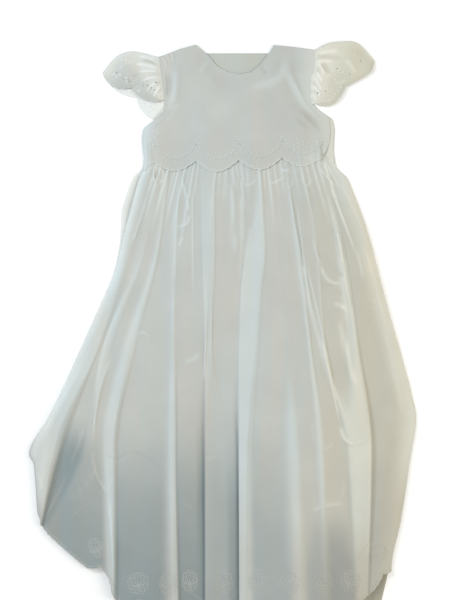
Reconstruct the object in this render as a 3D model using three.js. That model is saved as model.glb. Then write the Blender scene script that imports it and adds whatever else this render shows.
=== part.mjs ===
// A baby's christening gown in white cotton, laid flat on its back with the skirt spread.
// Plain bodice with a scalloped border over the waist, gathered eyelet sleeves and a long gathered skirt.
// Millimetres, +Z up, +Y towards the neck. Tables measure x from the centre front and y from the waist seam.
import * as THREE from 'three';

// Driving dimensions
const CLOTH = 1.2;
const SEAM_GAP = 0.3;
const LEFT_REACH = 274;
const RIGHT_REACH = 231;
const TOP_REACH = 163.2;
const HEM_REACH = 586.05;

// The two panels of a side seam lie on each other: these are the heights of their outer faces.
const BACK_FACE = CLOTH;
const FRONT_FACE = BACK_FACE + SEAM_GAP + CLOTH;

// Skirt sizes
const SKIRT_TOP = 18;
const SKIRT_TOP_RIGHT = 5;
const BACK_SEAM = 8;
const STRAIGHT_ROWS_END = -376;
const GATHER_HEIGHT = 1.9;
const GATHER_HALF_WIDTH = 4.2;
const GATHER_END = -105;
const GATHER_SPREAD = 0.003;
const LINES_AT_LOW_TOP = 5;
const SCALLOP_ROUNDNESS = 0.75;
const BORDER_ROUNDNESS = 1.0;

// Bodice sizes
const CHEST_HEIGHT = 8.2;
const BORDER_HEIGHT = 9;
const BODICE_EDGE_RUN = 0.1;
const BORDER_SLACK = 0.3;
const BORDER_RUN = 12;
const SHOULDER_RUN = 70;
const SHOULDER_CROWN = 0.5;
const SKIRT_MARGIN = 7;
const RIDGE_PARTS = 12;
const RIDGE_END_HEIGHT = 0.15;

const white = (name, colour) => new THREE.MeshStandardMaterial({ name, color: colour, roughness: 0.72 });
const COTTON = white('cotton', 0xe9ebe6);
const EYELET = white('eyelet', 0xe6e8e0);
const COTTON_BACK = white('cotton_back', 0xd9ddd6);

const table = (columns, rows) => rows.map(
  (row) => Object.fromEntries(columns.map((column, i) => [column, row[i]])),
);

// Edges of the laid skirt at each height: the front panel's, then the back panel's where it shows.
const SKIRT_EDGES = table(['y', 'left', 'right', 'backLeft', 'backRight'], [
  [20, -123, 124, -124, 124],
  [0, -123, 127, -126, 127],
  [-15, -130, 141, -138, 141],
  [-38, -137, 151, -147, 151],
  [-60, -143, 159.5, -153, 159.5],
  [-95, -152, 171, -155, 171],
  [-130, -160, 180, -161, 180],
  [-190, -185, 196, -185, 196],
  [-250, -212, 213, -212, 213],
  [-300, -235, 226, -235, 226],
  [-328, -249, 231, -249, 230],
  [-376, -274, 224.5, -272, 224],
  [-388, -268, 222.5, -267, 222],
  [-420, -265, 218, -264, 217],
  [-451, -263, 213, -262, 212],
  [-463, -259, 211, -258, 209],
  [-526, -259, 199, -258, 195.5],
  [-563, -259, 199, -258, 186.5],
  [-586, -259, 199, -258, 181],
]);

// Folds of the skirt front from left to right. The first columns are each line's x at four heights and at the hem,
// the z columns its height above the floor, and steps the number of strips between it and the line before.
const FOLD_HEIGHTS = { waist: 0, hip: -110, thigh: -240, knee: -370 };
const FOLD_COLUMNS = ['name', 'waist', 'hip', 'thigh', 'knee', 'hem',
  'zWaist', 'zHip', 'zThigh', 'zKnee', 'zHem', 'steps'];
const FOLDS = table(FOLD_COLUMNS, [
  ['side_flap', -116, -141, -186, -249, -258, 5.8, 8, 12, 16, 9, 3],
  ['side_trough', -110, -134, -181, -222, -256, 4.6, 6.5, 9.5, 4.8, 5, 3],
  ['edge_a', -105, -129, -178, -203, -253.5, 5.4, 8, 11.5, 7.8, 6.5, 2],
  ['crest_a', -101, -124, -173, -197, -248, 6.2, 9.5, 13, 9, 7.5, 1],
  ['dip_a', -96, -115, -161, -186, -187, 5.2, 8, 9.5, 9, 7, 2],
  ['crest_b', -91, -106, -142, -165, -165, 6.4, 10.5, 13, 14.5, 13, 3],
  ['dip_b', -84, -96, -117, -124, -135, 5, 7.5, 8.5, 8.5, 6.5, 3],
  ['crest_d', -76, -85, -87, -88, -86, 6.4, 10, 11, 13, 13, 4],
  ['edge_d', -71, -80, -82, -83, -79.5, 5.6, 8.5, 10, 11.5, 11.5, 1],
  ['dip_d', -64, -68, -67, -66, -64, 5, 7.5, 8.5, 8.5, 6.4, 2],
  ['slit', -51, -50, -48, -46, -45, 5.2, 8, 8.5, 4.6, 4.6, 2],
  ['lip_e', -47, -46, -43, -43.5, -43.5, 6.2, 10.5, 11.5, 9.8, 9.4, 2],
  ['panel_e', -33, -32, -36, -31, -30, 6.4, 10.5, 10, 9, 8.8, 2],
  ['dip_e', -23, -25, -27, -13, -10, 5, 7.5, 8, 8, 7, 3],
  ['foot_f', -9, -1, -8, -1, 0, 5.2, 7.5, 8.5, 6.5, 6, 2],
  ['lip_f', 16, 9, 0, 0, 0.5, 6.4, 11.2, 12.5, 14, 14, 2],
  ['crest_f', 27, 28, 8, 6, 7, 6.6, 11.5, 13.5, 15.5, 16, 1],
  ['dip_f', 33, 35, 30, 35, 49, 5, 7.5, 8.5, 9, 8.5, 2],
  ['crest_g', 42, 49, 64, 70, 79, 6.2, 8.5, 9.5, 12, 12, 3],
  ['dip_g', 52, 60, 77, 87, 100, 5, 7.5, 8, 9.5, 9, 3],
  ['crest_h', 62, 77, 93, 106, 113, 6.6, 11, 12, 11.5, 9, 2],
  ['dip_h', 72, 88, 102, 126, 134, 5, 7.5, 8.5, 9, 7, 2],
  ['crest_k', 83, 101, 112, 145, 153, 6.2, 10, 11, 12.5, 11, 2],
  ['dip_k', 94, 114, 125, 152, 157, 5, 7.5, 8, 13, 12, 2],
  ['crest_i', 105, 132, 152, 166, 162, 6.2, 11, 12.5, 14.5, 11, 2],
  ['edge_i', 111, 137, 156, 171.5, 167, 5.6, 9.5, 11, 13.5, 10.5, 1],
  ['dip_i', 116, 143, 163, 178, 174, 4.8, 7, 7.5, 7.5, 7.8, 2],
  ['crest_j', 121, 160, 188, 205, 190, 5.2, 9, 10, 8.5, 6.5, 3],
]);
const LAST_STEPS = 3;

// Short gathers between the folds, by their x at the waist
const GATHERS = [-80, -57, -28, -15, 30, 44.5, 67, 77.5, 99];

// Folds on the skirt's back panel, pressed flat against the floor but for these hollows
const BACK_FOLD_AT_WAIST = 0.25;
const BACK_FOLD_FADE = 0.33;
const BACK_FOLD_NARROW = 0.6;
const BACK_FOLD_WIDE = 1.6;
const BACK_SIDE_SHARE = 0.083;
const BACK_FOLDS = table(['waist', 'hem', 'height', 'halfWidth'], [
  [-92, -196, 2.2, 9],
  [-66, -128, 2.6, 11],
  [-40, -84, 2.0, 8],
  [-12, -30, 2.6, 12],
  [17, 28, 2.2, 9],
  [42, 82, 2.6, 11],
  [66, 122, 2.0, 8],
  [92, 160, 2.4, 10],
]);

// Cusps of the scalloped edges. Each bulge is how far the scallop before that cusp swells out.
const EDGE_COLUMNS = ['x', 'y', 'bulge', 'steps'];
const BORDER = table(EDGE_COLUMNS, [
  [-123.5, -6, 0, 0],
  [-110, 6, -2.5, 2],
  [-57, 8, 12, 6],
  [-1, 9, 14.5, 6],
  [55.5, 12.5, 14, 6],
  [108.5, 12, 11, 6],
]);
const FRONT_HEM = table(EDGE_COLUMNS, [
  [-259, -463, 0, 0],
  [-240, -486, 1.5, 3],
  [-203, -519, 0, 2],
  [-181, -521, 4, 3],
  [-166, -546, -3, 3],
  [-129, -566, 14, 6],
  [-92, -570, 14, 6],
  [-44, -571, 14, 6],
  [0, -572, 14, 6],
  [43, -573, 14, 6],
  [87, -573, 14, 6],
  [131, -569, 15, 6],
  [187, -530, 12, 7],
  [199, -526, 1.5, 2],
]);
const BACK_HEM = table(EDGE_COLUMNS, [
  [-258, -463, 0, 0],
  [-203, -518, 0, 3],
  [-181, -520, 3, 2],
  [-166, -544, -3, 2],
  [-120, -563, 12, 5],
  [-72, -567, 12, 5],
  [-24, -569, 12, 5],
  [24, -570, 12, 5],
  [72, -570, 12, 5],
  [126, -569, 12, 5],
  [181, -574, 12, 5],
]);

// Sides of the bodice: armhole, underarm and side seam
const BODICE_SIDES = table(['y', 'left', 'right', 'backRight'], [
  [158, -105, 99.5, 99.5],
  [143, -105, 99.5, 99.5],
  [127, -103.5, 99, 99],
  [114, -101.5, 94.5, 94.5],
  [88, -98.5, 94, 94],
  [77, -97.5, 101, 101],
  [69, -103, 111, 111],
  [61, -110.5, 119, 122],
  [47, -125.5, 120, 125],
  [35, -127, 119.5, 124.5],
  [21, -125.5, 115, 124],
  [8, -124, 108.5, 125],
  [-8, -123.5, 108.5, 125],
]);
const SHOULDERS_AND_NECK = table(['x', 'y'], [
  [-105, 143],
  [-96, 145.5],
  [-77, 153],
  [-56, 158.5],
  [-43, 147],
  [-28.5, 130],
  [-14, 122],
  [1, 119.5],
  [15.5, 122],
  [27.5, 131],
  [39, 147],
  [45.5, 158],
  [73, 155.5],
  [99.5, 152],
]);
const NECK_LEFT = -56;
const NECK_RIGHT = 45.5;
const BACK_NECK = table(['x', 'y'], [
  [-105, 143],
  [-96, 145.5],
  [-77, 153],
  [-56, 158],
  [-47, 147.5],
  [40, 147.5],
  [45.5, 157.5],
  [73, 155],
  [99.5, 151.5],
]);

// Soft folds over the chest: a ridge from one point through a bend to another
const CHEST_FOLDS = table(['x1', 'y1', 'x2', 'y2', 'x3', 'y3', 'halfWidth', 'height'], [
  [-83, 122, -86, 95, -97, 72, 8, 2.6],
  [52, 150, 48, 112, 2, 104, 12, 2.2],
  [60, 118, 76, 92, 112, 60, 8, 2.4],
  [98, 55, 112, 40, 114, 28, 7, -1.8],
]);

// Sleeves: the shoulder fold from the armhole to the tip, then the hems of the front and the back layer
const SLEEVES = [
  {
    name: 'sleeve_left',
    side: 'left',
    armhole: { top: 142, front: 88, back: 81 },
    fold: [[-123.5, 147.5], [-142, 149.5], [-160.5, 142], [-177.5, 122]],
    frontHem: table(EDGE_COLUMNS, [
      [-104, 84.5, 0, 0],
      [-140, 103, -7, 5],
      [-177.5, 122, -10, 5],
    ]),
    backHem: table(EDGE_COLUMNS, [
      [-177.5, 122, 0, 0],
      [-133, 90, 8, 5],
      [-111.5, 61.5, 5, 5],
    ]),
  },
  {
    name: 'sleeve_right',
    side: 'right',
    armhole: { top: 151, front: 82, back: 84 },
    fold: [[116, 160], [135, 162.5], [154, 160.5], [175.5, 139]],
    frontHem: table(EDGE_COLUMNS, [
      [102.5, 81, 0, 0],
      [124.5, 83, 3, 4],
      [138, 104, 1.5, 3],
      [171.5, 123.5, 1, 3],
      [175.5, 139, 1, 2],
    ]),
    backHem: table(EDGE_COLUMNS, [
      [175.5, 139, 0, 0],
      [167, 123, 3, 2],
      [137, 107, 2, 2],
      [122, 85, 3, 3],
      [103, 83.5, 4, 3],
    ]),
  },
];
const SLEEVE_GAP = 0.9;
const SLEEVE_PUFF = 11;
const SLEEVE_HEM_LIFT = 5.5;
const SLEEVE_ARMHOLE_LIFT = 2.2;
const SLEEVE_GATHERS = 8;
const SLEEVE_GATHER_HEIGHT = 1.3;
const SLEEVE_STEPS_OUT = 8;
const SLEEVE_FOLD_ZONE = 0.13;
const SLEEVE_FOLD_SWELL = 0.32;
const SLEEVE_FULL_AT = 0.9;
const SLEEVE_LEAST_FULLNESS = 0.06;
const SLEEVE_RIPPLE_REACH = 0.8;

const lerp = THREE.MathUtils.lerp;
const smooth = (t) => THREE.MathUtils.smoothstep(t, 0, 1);
const swell = (distance) => (Math.abs(distance) < 1 ? (1 + Math.cos(Math.PI * distance)) / 2 : 0);

// Slopes that keep a curve through the values free of overshoot
function gentleSlopes(at, values) {
  const rises = values.slice(1).map((value, i) => (value - values[i]) / (at[i + 1] - at[i]));
  return values.map((value, i) => {
    if (i === 0) return rises[0];
    if (i === values.length - 1) return rises[i - 1];
    const [before, after] = [rises[i - 1], rises[i]];
    return before * after <= 0 ? 0 : (2 * before * after) / (before + after);
  });
}

// A smooth curve through values that stand at growing places
function curve(at, values) {
  const slopes = gentleSlopes(at, values);
  const last = at.length - 1;
  return (place) => {
    if (place <= at[0]) return values[0];
    if (place >= at[last]) return values[last];
    let i = 0;
    while (place > at[i + 1]) i += 1;
    const run = at[i + 1] - at[i];
    const t = (place - at[i]) / run;
    const back = 1 - t;
    return values[i] * (1 + 2 * t) * back * back + slopes[i] * run * t * back * back
      + values[i + 1] * (3 - 2 * t) * t * t - slopes[i + 1] * run * back * t * t;
  };
}

// The points of a scalloped edge: straight where the bulge is 0, otherwise a round bow to the right of the way
function scallopedEdge(cusps, roundness = SCALLOP_ROUNDNESS) {
  const points = [[cusps[0].x, cusps[0].y]];
  cusps.slice(1).forEach((cusp, i) => {
    const from = cusps[i];
    const along = new THREE.Vector2(cusp.x - from.x, cusp.y - from.y);
    const out = new THREE.Vector2(along.y, -along.x).normalize();
    for (let k = 1; k <= cusp.steps; k += 1) {
      const t = k / cusp.steps;
      const bow = cusp.bulge * Math.sin(Math.PI * t) ** roundness;
      const [bowX, bowY] = k === cusp.steps ? [0, 0] : [out.x * bow, out.y * bow];
      points.push([from.x + along.x * t + bowX, from.y + along.y * t + bowY]);
    }
  });
  return points;
}

// The height y of an edge, given as points from left to right, at x
function edgeAt(points, x) {
  const i = points.findIndex((point) => point[0] >= x);
  if (i === 0) return points[0][1];
  if (i < 0) return points.at(-1)[1];
  const [[x0, y0], [x1, y1]] = [points[i - 1], points[i]];
  return lerp(y0, y1, (x - x0) / (x1 - x0));
}

const columnOf = (rows, name) => rows.map((row) => row[name]);
const sideCurve = (rows, name) => {
  const upward = [...rows].reverse();
  return curve(columnOf(upward, 'y'), columnOf(upward, name));
};

// A closed wall between a grid of outer points and a grid of inner points, both [column][row]
function wall(name, material, outer, inner) {
  const [columns, rows] = [outer.length, outer[0].length];
  const positions = [...outer.flat(), ...inner.flat()].flatMap((point) => point.toArray());
  const index = [];
  const at = (side, i, j) => side * columns * rows + i * rows + j;
  const quad = (a, b, c, d) => index.push(a, b, c, a, c, d);
  for (let i = 0; i + 1 < columns; i += 1) {
    for (let j = 0; j + 1 < rows; j += 1) {
      quad(at(0, i, j), at(0, i, j + 1), at(0, i + 1, j + 1), at(0, i + 1, j));
      quad(at(1, i, j), at(1, i + 1, j), at(1, i + 1, j + 1), at(1, i, j + 1));
    }
  }
  for (let i = 0; i + 1 < columns; i += 1) {
    quad(at(0, i, 0), at(0, i + 1, 0), at(1, i + 1, 0), at(1, i, 0));
    quad(at(0, i + 1, rows - 1), at(0, i, rows - 1), at(1, i, rows - 1), at(1, i + 1, rows - 1));
  }
  for (let j = 0; j + 1 < rows; j += 1) {
    quad(at(0, 0, j + 1), at(0, 0, j), at(1, 0, j), at(1, 0, j + 1));
    quad(at(0, columns - 1, j), at(0, columns - 1, j + 1), at(1, columns - 1, j + 1), at(1, columns - 1, j));
  }
  const geometry = new THREE.BufferGeometry();
  geometry.setAttribute('position', new THREE.Float32BufferAttribute(positions, 3));
  geometry.setIndex(index);
  geometry.computeVertexNormals();
  const mesh = new THREE.Mesh(geometry, material);
  mesh.name = name;
  return mesh;
}

// Moves a grid of points by a distance against the way its face looks
function offsetGrid(grid, distance) {
  const [lastColumn, lastRow] = [grid.length - 1, grid[0].length - 1];
  return grid.map((column, i) => column.map((point, j) => {
    const across = grid[Math.min(i + 1, lastColumn)][j].clone().sub(grid[Math.max(i - 1, 0)][j]);
    const down = column[Math.min(j + 1, lastRow)].clone().sub(column[Math.max(j - 1, 0)]);
    const normal = down.cross(across).normalize();
    return point.clone().addScaledVector(normal, -distance);
  }));
}

const hemOfFront = scallopedEdge(FRONT_HEM);
const hemOfBack = scallopedEdge(BACK_HEM);
const frontLeft = sideCurve(SKIRT_EDGES, 'left');
const frontRight = sideCurve(SKIRT_EDGES, 'right');

// Every line of the skirt front, its two sides included, as curves of x and z down the skirt
const SKIRT_LINES = [
  { xAt: frontLeft, zAt: () => FRONT_FACE, hemX: FRONT_HEM[0].x, steps: 0 },
  ...FOLDS.map((fold) => {
    const hemY = edgeAt(hemOfFront, fold.hem);
    const heights = [hemY, FOLD_HEIGHTS.knee, FOLD_HEIGHTS.thigh, FOLD_HEIGHTS.hip, FOLD_HEIGHTS.waist];
    return {
      xAt: curve(heights, [fold.hem, fold.knee, fold.thigh, fold.hip, fold.waist]),
      zAt: curve(heights, [fold.zHem, fold.zKnee, fold.zThigh, fold.zHip, fold.zWaist]),
      hemX: fold.hem,
      steps: fold.steps,
    };
  }),
  { xAt: frontRight, zAt: () => FRONT_FACE, hemX: FRONT_HEM.at(-1).x, steps: LAST_STEPS },
];

function gatherHeight(x, y) {
  if (y < GATHER_END) return 0;
  const spread = 1 + GATHER_SPREAD * Math.max(0, -y);
  const fade = smooth((y - GATHER_END) / -GATHER_END);
  const height = GATHERS.reduce(
    (sum, gather) => sum + swell((x / spread - gather) / GATHER_HALF_WIDTH),
    0,
  );
  return GATHER_HEIGHT * fade * height;
}

// Rows of the skirt: straight across down to the knee, then drawn to the hem's own shape
const SKIRT_ROWS = [-14, -28, -46, -68, -94, -124, -158, -194, -228, -262, -296, -328, -352, -376];
const HEM_ROWS = [0.14, 0.28, 0.42, 0.56, 0.69, 0.81, 0.91, 1];

function skirtRows(top, hemY) {
  const toHem = HEM_ROWS.map((share) => lerp(STRAIGHT_ROWS_END, hemY, share));
  return [top, lerp(top, SKIRT_ROWS[0], 0.5), ...SKIRT_ROWS, ...toHem];
}

const lineIndexes = SKIRT_LINES.map((line, i) => i);

// The outer face of the skirt front at height y, as a function of the place between its lines
function skirtSection(y) {
  const xAt = curve(lineIndexes, SKIRT_LINES.map((line) => line.xAt(y)));
  const zAt = curve(lineIndexes, SKIRT_LINES.map((line) => line.zAt(y)));
  const last = lineIndexes.length - 1;
  return (place) => {
    const inside = Math.min(1, place, last - place);
    const x = xAt(place);
    return new THREE.Vector3(x, y, zAt(place) + gatherHeight(x, y) * inside);
  };
}

function skirtPlaces() {
  const places = [0];
  SKIRT_LINES.slice(1).forEach((line, i) => {
    for (let k = 1; k <= line.steps; k += 1) places.push(i + k / line.steps);
  });
  return places;
}

function backFoldHeight(x, y) {
  const down = THREE.MathUtils.clamp((BACK_SEAM - y) / (BACK_SEAM + HEM_REACH), 0, 1);
  const rise = lerp(BACK_FOLD_AT_WAIST, 1, smooth(down / BACK_FOLD_FADE));
  return BACK_FOLDS.reduce((sum, fold) => {
    const width = fold.halfWidth * lerp(BACK_FOLD_NARROW, BACK_FOLD_WIDE, down);
    return sum + rise * fold.height * swell((x - lerp(fold.waist, fold.hem, down)) / width);
  }, 0);
}

function skirtFront() {
  const hemXAt = curve(lineIndexes, columnOf(SKIRT_LINES, 'hemX'));
  const grid = skirtPlaces().map((place) => {
    const hemY = edgeAt(hemOfFront, hemXAt(place));
    const topDrop = smooth((place - lineIndexes.at(-LINES_AT_LOW_TOP)) / (LINES_AT_LOW_TOP - 1));
    const top = lerp(SKIRT_TOP, SKIRT_TOP_RIGHT, topDrop);
    return skirtRows(top, hemY).map((y) => skirtSection(y)(place));
  });
  const inner = offsetGrid(grid, CLOTH);
  inner.flat().forEach((point) => {
    point.z = Math.max(point.z, backFoldHeight(point.x, point.y) + BACK_FACE + SEAM_GAP);
  });
  return wall('skirt_front', COTTON, grid, inner);
}

const BACK_COLUMNS = 56;
const BACK_STRAIGHT_ROWS = [-15, -50, -95, -150, -210, -280, -330, -376];
const BACK_HEM_ROWS = [0.22, 0.44, 0.64, 0.82, 1];

function skirtBack() {
  const left = sideCurve(SKIRT_EDGES, 'backLeft');
  const right = sideCurve(SKIRT_EDGES, 'backRight');
  const outer = [];
  const inner = [];
  for (let i = 0; i <= BACK_COLUMNS; i += 1) {
    const share = i / BACK_COLUMNS;
    const hemY = edgeAt(hemOfBack, lerp(BACK_HEM[0].x, BACK_HEM.at(-1).x, share));
    const toHem = BACK_HEM_ROWS.map((part) => lerp(STRAIGHT_ROWS_END, hemY, part));
    const rise = smooth(Math.min(share, 1 - share) / BACK_SIDE_SHARE);
    const points = [BACK_SEAM - SEAM_GAP, ...BACK_STRAIGHT_ROWS, ...toHem].map((y) => {
      const x = lerp(left(y), right(y), share);
      return new THREE.Vector3(x, y, backFoldHeight(x, y) * rise);
    });
    inner.push(points);
    outer.push(points.map((point) => point.clone().setZ(point.z + CLOTH)));
  }
  return wall('skirt_back', COTTON_BACK, outer, inner);
}

// A ridge that runs from one point through a bend to another and fades out at both ends
function ridgeHeight(fold, x, y) {
  const bend = new THREE.QuadraticBezierCurve(
    new THREE.Vector2(fold.x1, fold.y1),
    new THREE.Vector2(2 * fold.x2 - (fold.x1 + fold.x3) / 2, 2 * fold.y2 - (fold.y1 + fold.y3) / 2),
    new THREE.Vector2(fold.x3, fold.y3),
  );
  const point = new THREE.Vector2(x, y);
  let [nearest, place] = [Infinity, 0];
  for (let k = 0; k <= RIDGE_PARTS; k += 1) {
    const distance = bend.getPoint(k / RIDGE_PARTS).distanceTo(point);
    if (distance < nearest) [nearest, place] = [distance, k / RIDGE_PARTS];
  }
  const fade = Math.sin(Math.PI * lerp(RIDGE_END_HEIGHT, 1 - RIDGE_END_HEIGHT, place));
  return fold.height * swell(nearest / fold.halfWidth) * fade;
}

const BODICE_TOP_LEFT = BODICE_SIDES[1].left;
const BODICE_TOP_RIGHT = BODICE_SIDES[1].right;
const bodiceLeft = sideCurve(BODICE_SIDES, 'left');
const bodiceRight = sideCurve(BODICE_SIDES, 'right');
const bodiceBackRight = sideCurve(BODICE_SIDES, 'backRight');
const BODICE_ROWS = 15;

// The highest point of the skirt front near x, or 0 where the skirt doesn't reach
function skirtHeightNear(x, y) {
  if (y > SKIRT_TOP + SKIRT_MARGIN) return 0;
  const at = skirtSection(Math.min(y, SKIRT_TOP));
  const near = skirtPlaces().map(at).filter((point) => Math.abs(point.x - x) < SKIRT_MARGIN);
  return Math.max(0, ...near.map((point) => point.z));
}

function bodiceHeight(share, x, y) {
  const fromSide = smooth(Math.min(share, 1 - share) / BODICE_EDGE_RUN);
  const overSkirt = smooth((SKIRT_TOP + BORDER_RUN - y) / BORDER_RUN);
  const edge = lerp(FRONT_FACE, FRONT_FACE + SEAM_GAP + CLOTH, overSkirt);
  const shoulder = smooth((TOP_REACH - y) / SHOULDER_RUN);
  const crown = lerp(FRONT_FACE + SHOULDER_CROWN, lerp(CHEST_HEIGHT, BORDER_HEIGHT, overSkirt), shoulder);
  const folds = CHEST_FOLDS.reduce((sum, fold) => sum + ridgeHeight(fold, x, y), 0);
  const overGathers = skirtHeightNear(x, y) + SEAM_GAP + CLOTH + BORDER_SLACK;
  return Math.max(overGathers, lerp(edge, crown, fromSide) + folds * fromSide);
}

function bodiceFront() {
  const border = scallopedEdge(BORDER, BORDER_ROUNDNESS);
  const firstArc = BORDER[1].steps;
  const arcSteps = BORDER[2].steps;
  const neckLeft = firstArc + arcSteps;
  const neckRight = firstArc + 3 * arcSteps;
  const topX = curve(
    [0, neckLeft, neckRight, border.length - 1],
    [BODICE_TOP_LEFT, NECK_LEFT, NECK_RIGHT, BODICE_TOP_RIGHT],
  );
  const topLine = SHOULDERS_AND_NECK.map((point) => [point.x, point.y]);
  const shareAt = (x, y) => (x - bodiceLeft(y)) / (bodiceRight(y) - bodiceLeft(y));
  const grid = border.map(([borderX, borderY], i) => {
    const x0 = topX(i);
    const y0 = edgeAt(topLine, x0);
    return Array.from({ length: BODICE_ROWS + 1 }, (unused, j) => {
      const down = j / BODICE_ROWS;
      const y = lerp(y0, borderY, down);
      const share = lerp(shareAt(x0, y0), shareAt(borderX, borderY), down);
      const x = lerp(bodiceLeft(y), bodiceRight(y), share);
      return new THREE.Vector3(x, y, bodiceHeight(share, x, y));
    });
  });
  return wall('bodice_front', COTTON, grid, offsetGrid(grid, CLOTH));
}

function bodiceBack() {
  const topLine = BACK_NECK.map((point) => [point.x, point.y]);
  const columns = BACK_NECK.flatMap(({ x }, i) => (i === 0 ? [x] : [(BACK_NECK[i - 1].x + x) / 2, x]));
  const shareAt = (x, y) => (x - bodiceLeft(y)) / (bodiceBackRight(y) - bodiceLeft(y));
  const inner = columns.map((x0, i) => {
    const y0 = edgeAt(topLine, x0);
    return Array.from({ length: BODICE_ROWS + 1 }, (unused, j) => {
      const down = j / BODICE_ROWS;
      const y = lerp(y0, BACK_SEAM, down);
      const share = lerp(shareAt(x0, y0), i / (columns.length - 1), down);
      return new THREE.Vector3(lerp(bodiceLeft(y), bodiceBackRight(y), share), y, 0);
    });
  });
  const outer = inner.map((column) => column.map((point) => point.clone().setZ(CLOTH)));
  return wall('bodice_back', COTTON_BACK, outer, inner);
}

// One sleeve as a single gathered piece: round from the front underarm over the shoulder to the back underarm
function sleeve({ name, side, armhole, fold, frontHem, backHem }) {
  const hem = [...scallopedEdge(frontHem), ...scallopedEdge(backHem).slice(1)];
  const foldPlace = (scallopedEdge(frontHem).length - 1) / (hem.length - 1);
  const sewnTo = (y) => (side === 'left' ? bodiceLeft(y) - SLEEVE_GAP : bodiceRight(y) + SLEEVE_GAP);
  const start = [sewnTo(armhole.top), armhole.top];
  const foldCurve = new THREE.CatmullRomCurve3([start, ...fold].map(([x, y]) => new THREE.Vector3(x, y, 0)));
  const tip = fold.at(-1);
  const armholeAt = (place) => {
    const toFront = place < foldPlace;
    const end = toFront ? armhole.front : armhole.back;
    const share = toFront ? 1 - place / foldPlace : (place - foldPlace) / (1 - foldPlace);
    const y = lerp(armhole.top, end, share);
    return [sewnTo(y), y];
  };
  const grid = hem.map(([hemX, hemY], i) => {
    const place = i / (hem.length - 1);
    const [startX, startY] = armholeAt(place);
    const nearFold = swell((place - foldPlace) / SLEEVE_FOLD_SWELL);
    const layer = 1 - smooth((place - foldPlace) / (2 * SLEEVE_FOLD_ZONE) + 0.5);
    return Array.from({ length: SLEEVE_STEPS_OUT + 1 }, (unused, j) => {
      const out = j / SLEEVE_STEPS_OUT;
      const onFold = foldCurve.getPoint(out);
      const bowX = onFold.x - lerp(start[0], tip[0], out);
      const bowY = onFold.y - lerp(start[1], tip[1], out);
      const filled = Math.min(1, place / foldPlace / SLEEVE_FULL_AT + SLEEVE_LEAST_FULLNESS);
      const fullness = Math.sin((Math.PI / 2) * filled);
      const lift = lerp(SLEEVE_ARMHOLE_LIFT, SLEEVE_HEM_LIFT, out)
        + (SLEEVE_PUFF - SLEEVE_HEM_LIFT) * Math.sin(Math.PI * out) * fullness;
      const ripple = SLEEVE_GATHER_HEIGHT * Math.sin(Math.PI * Math.min(1, out / SLEEVE_RIPPLE_REACH)) * layer
        * Math.cos(2 * Math.PI * SLEEVE_GATHERS * place);
      return new THREE.Vector3(
        lerp(startX, hemX, out) + bowX * nearFold,
        lerp(startY, hemY, out) + bowY * nearFold,
        CLOTH / 2 + lift * layer + ripple,
      );
    });
  });
  return wall(name, EYELET, offsetGrid(grid, -CLOTH / 2), offsetGrid(grid, CLOTH / 2));
}

const gown = new THREE.Group();
gown.add(skirtBack(), skirtFront(), bodiceBack(), bodiceFront(), ...SLEEVES.map(sleeve));
gown.position.set((LEFT_REACH - RIGHT_REACH) / 2, (HEM_REACH - TOP_REACH) / 2, 0);

export default gown;
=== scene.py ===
# A baby's christening gown in fine white cotton, laid flat on its back on a pale surface.
# Plain bodice with a scalloped, embroidered border over the waist, gathered eyelet sleeves and a long skirt.
# Tables are in millimetres from the centre front and the waist seam, as in the part's source.
import math

import bmesh
import bpy
import numpy as np
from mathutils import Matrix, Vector
from mathutils.bvhtree import BVHTree


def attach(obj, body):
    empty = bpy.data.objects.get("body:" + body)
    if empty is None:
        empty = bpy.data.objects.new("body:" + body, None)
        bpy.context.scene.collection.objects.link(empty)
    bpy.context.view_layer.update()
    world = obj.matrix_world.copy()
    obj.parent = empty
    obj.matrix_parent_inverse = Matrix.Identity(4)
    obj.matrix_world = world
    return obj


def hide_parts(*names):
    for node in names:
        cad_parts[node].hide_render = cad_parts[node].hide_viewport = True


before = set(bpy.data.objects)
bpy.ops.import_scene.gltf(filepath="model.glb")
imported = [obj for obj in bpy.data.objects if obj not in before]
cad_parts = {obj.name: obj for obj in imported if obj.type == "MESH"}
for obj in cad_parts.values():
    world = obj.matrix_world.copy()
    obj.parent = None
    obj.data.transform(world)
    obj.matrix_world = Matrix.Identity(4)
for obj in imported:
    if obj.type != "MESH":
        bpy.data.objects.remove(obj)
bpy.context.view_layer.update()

# The view: a camera straight above the gown, as the photograph shows it, with one pixel on 1.3 mm of cloth.
# The picture is 451 by 600 pixels, and the waist seam's middle stands at pixel (239, 166).
MM = 0.001
PIXEL = 1.3
PICTURE_WIDTH_PX = 451
PICTURE_HEIGHT_PX = 600
WAIST_PX = (239, 166)
CENTRE_FRONT_X = 21.5
WAIST_Y = 211.425
CLOTH_LEVEL = 9
CAMERA_HEIGHT = 2.3
LONG_SIDE_SENSOR = 36


def in_frame(x, y, z):
    """Points of the tables' millimetres as rows of metres in the model's frame."""
    x, y, z = np.broadcast_arrays(x, y, z)
    return np.stack([x + CENTRE_FRONT_X, y + WAIST_Y, z], axis=-1) * MM


def from_photo(px, py):
    """A pixel of the photograph as x and y of the tables."""
    return (px - WAIST_PX[0]) * PIXEL, (WAIST_PX[1] - py) * PIXEL


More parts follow.
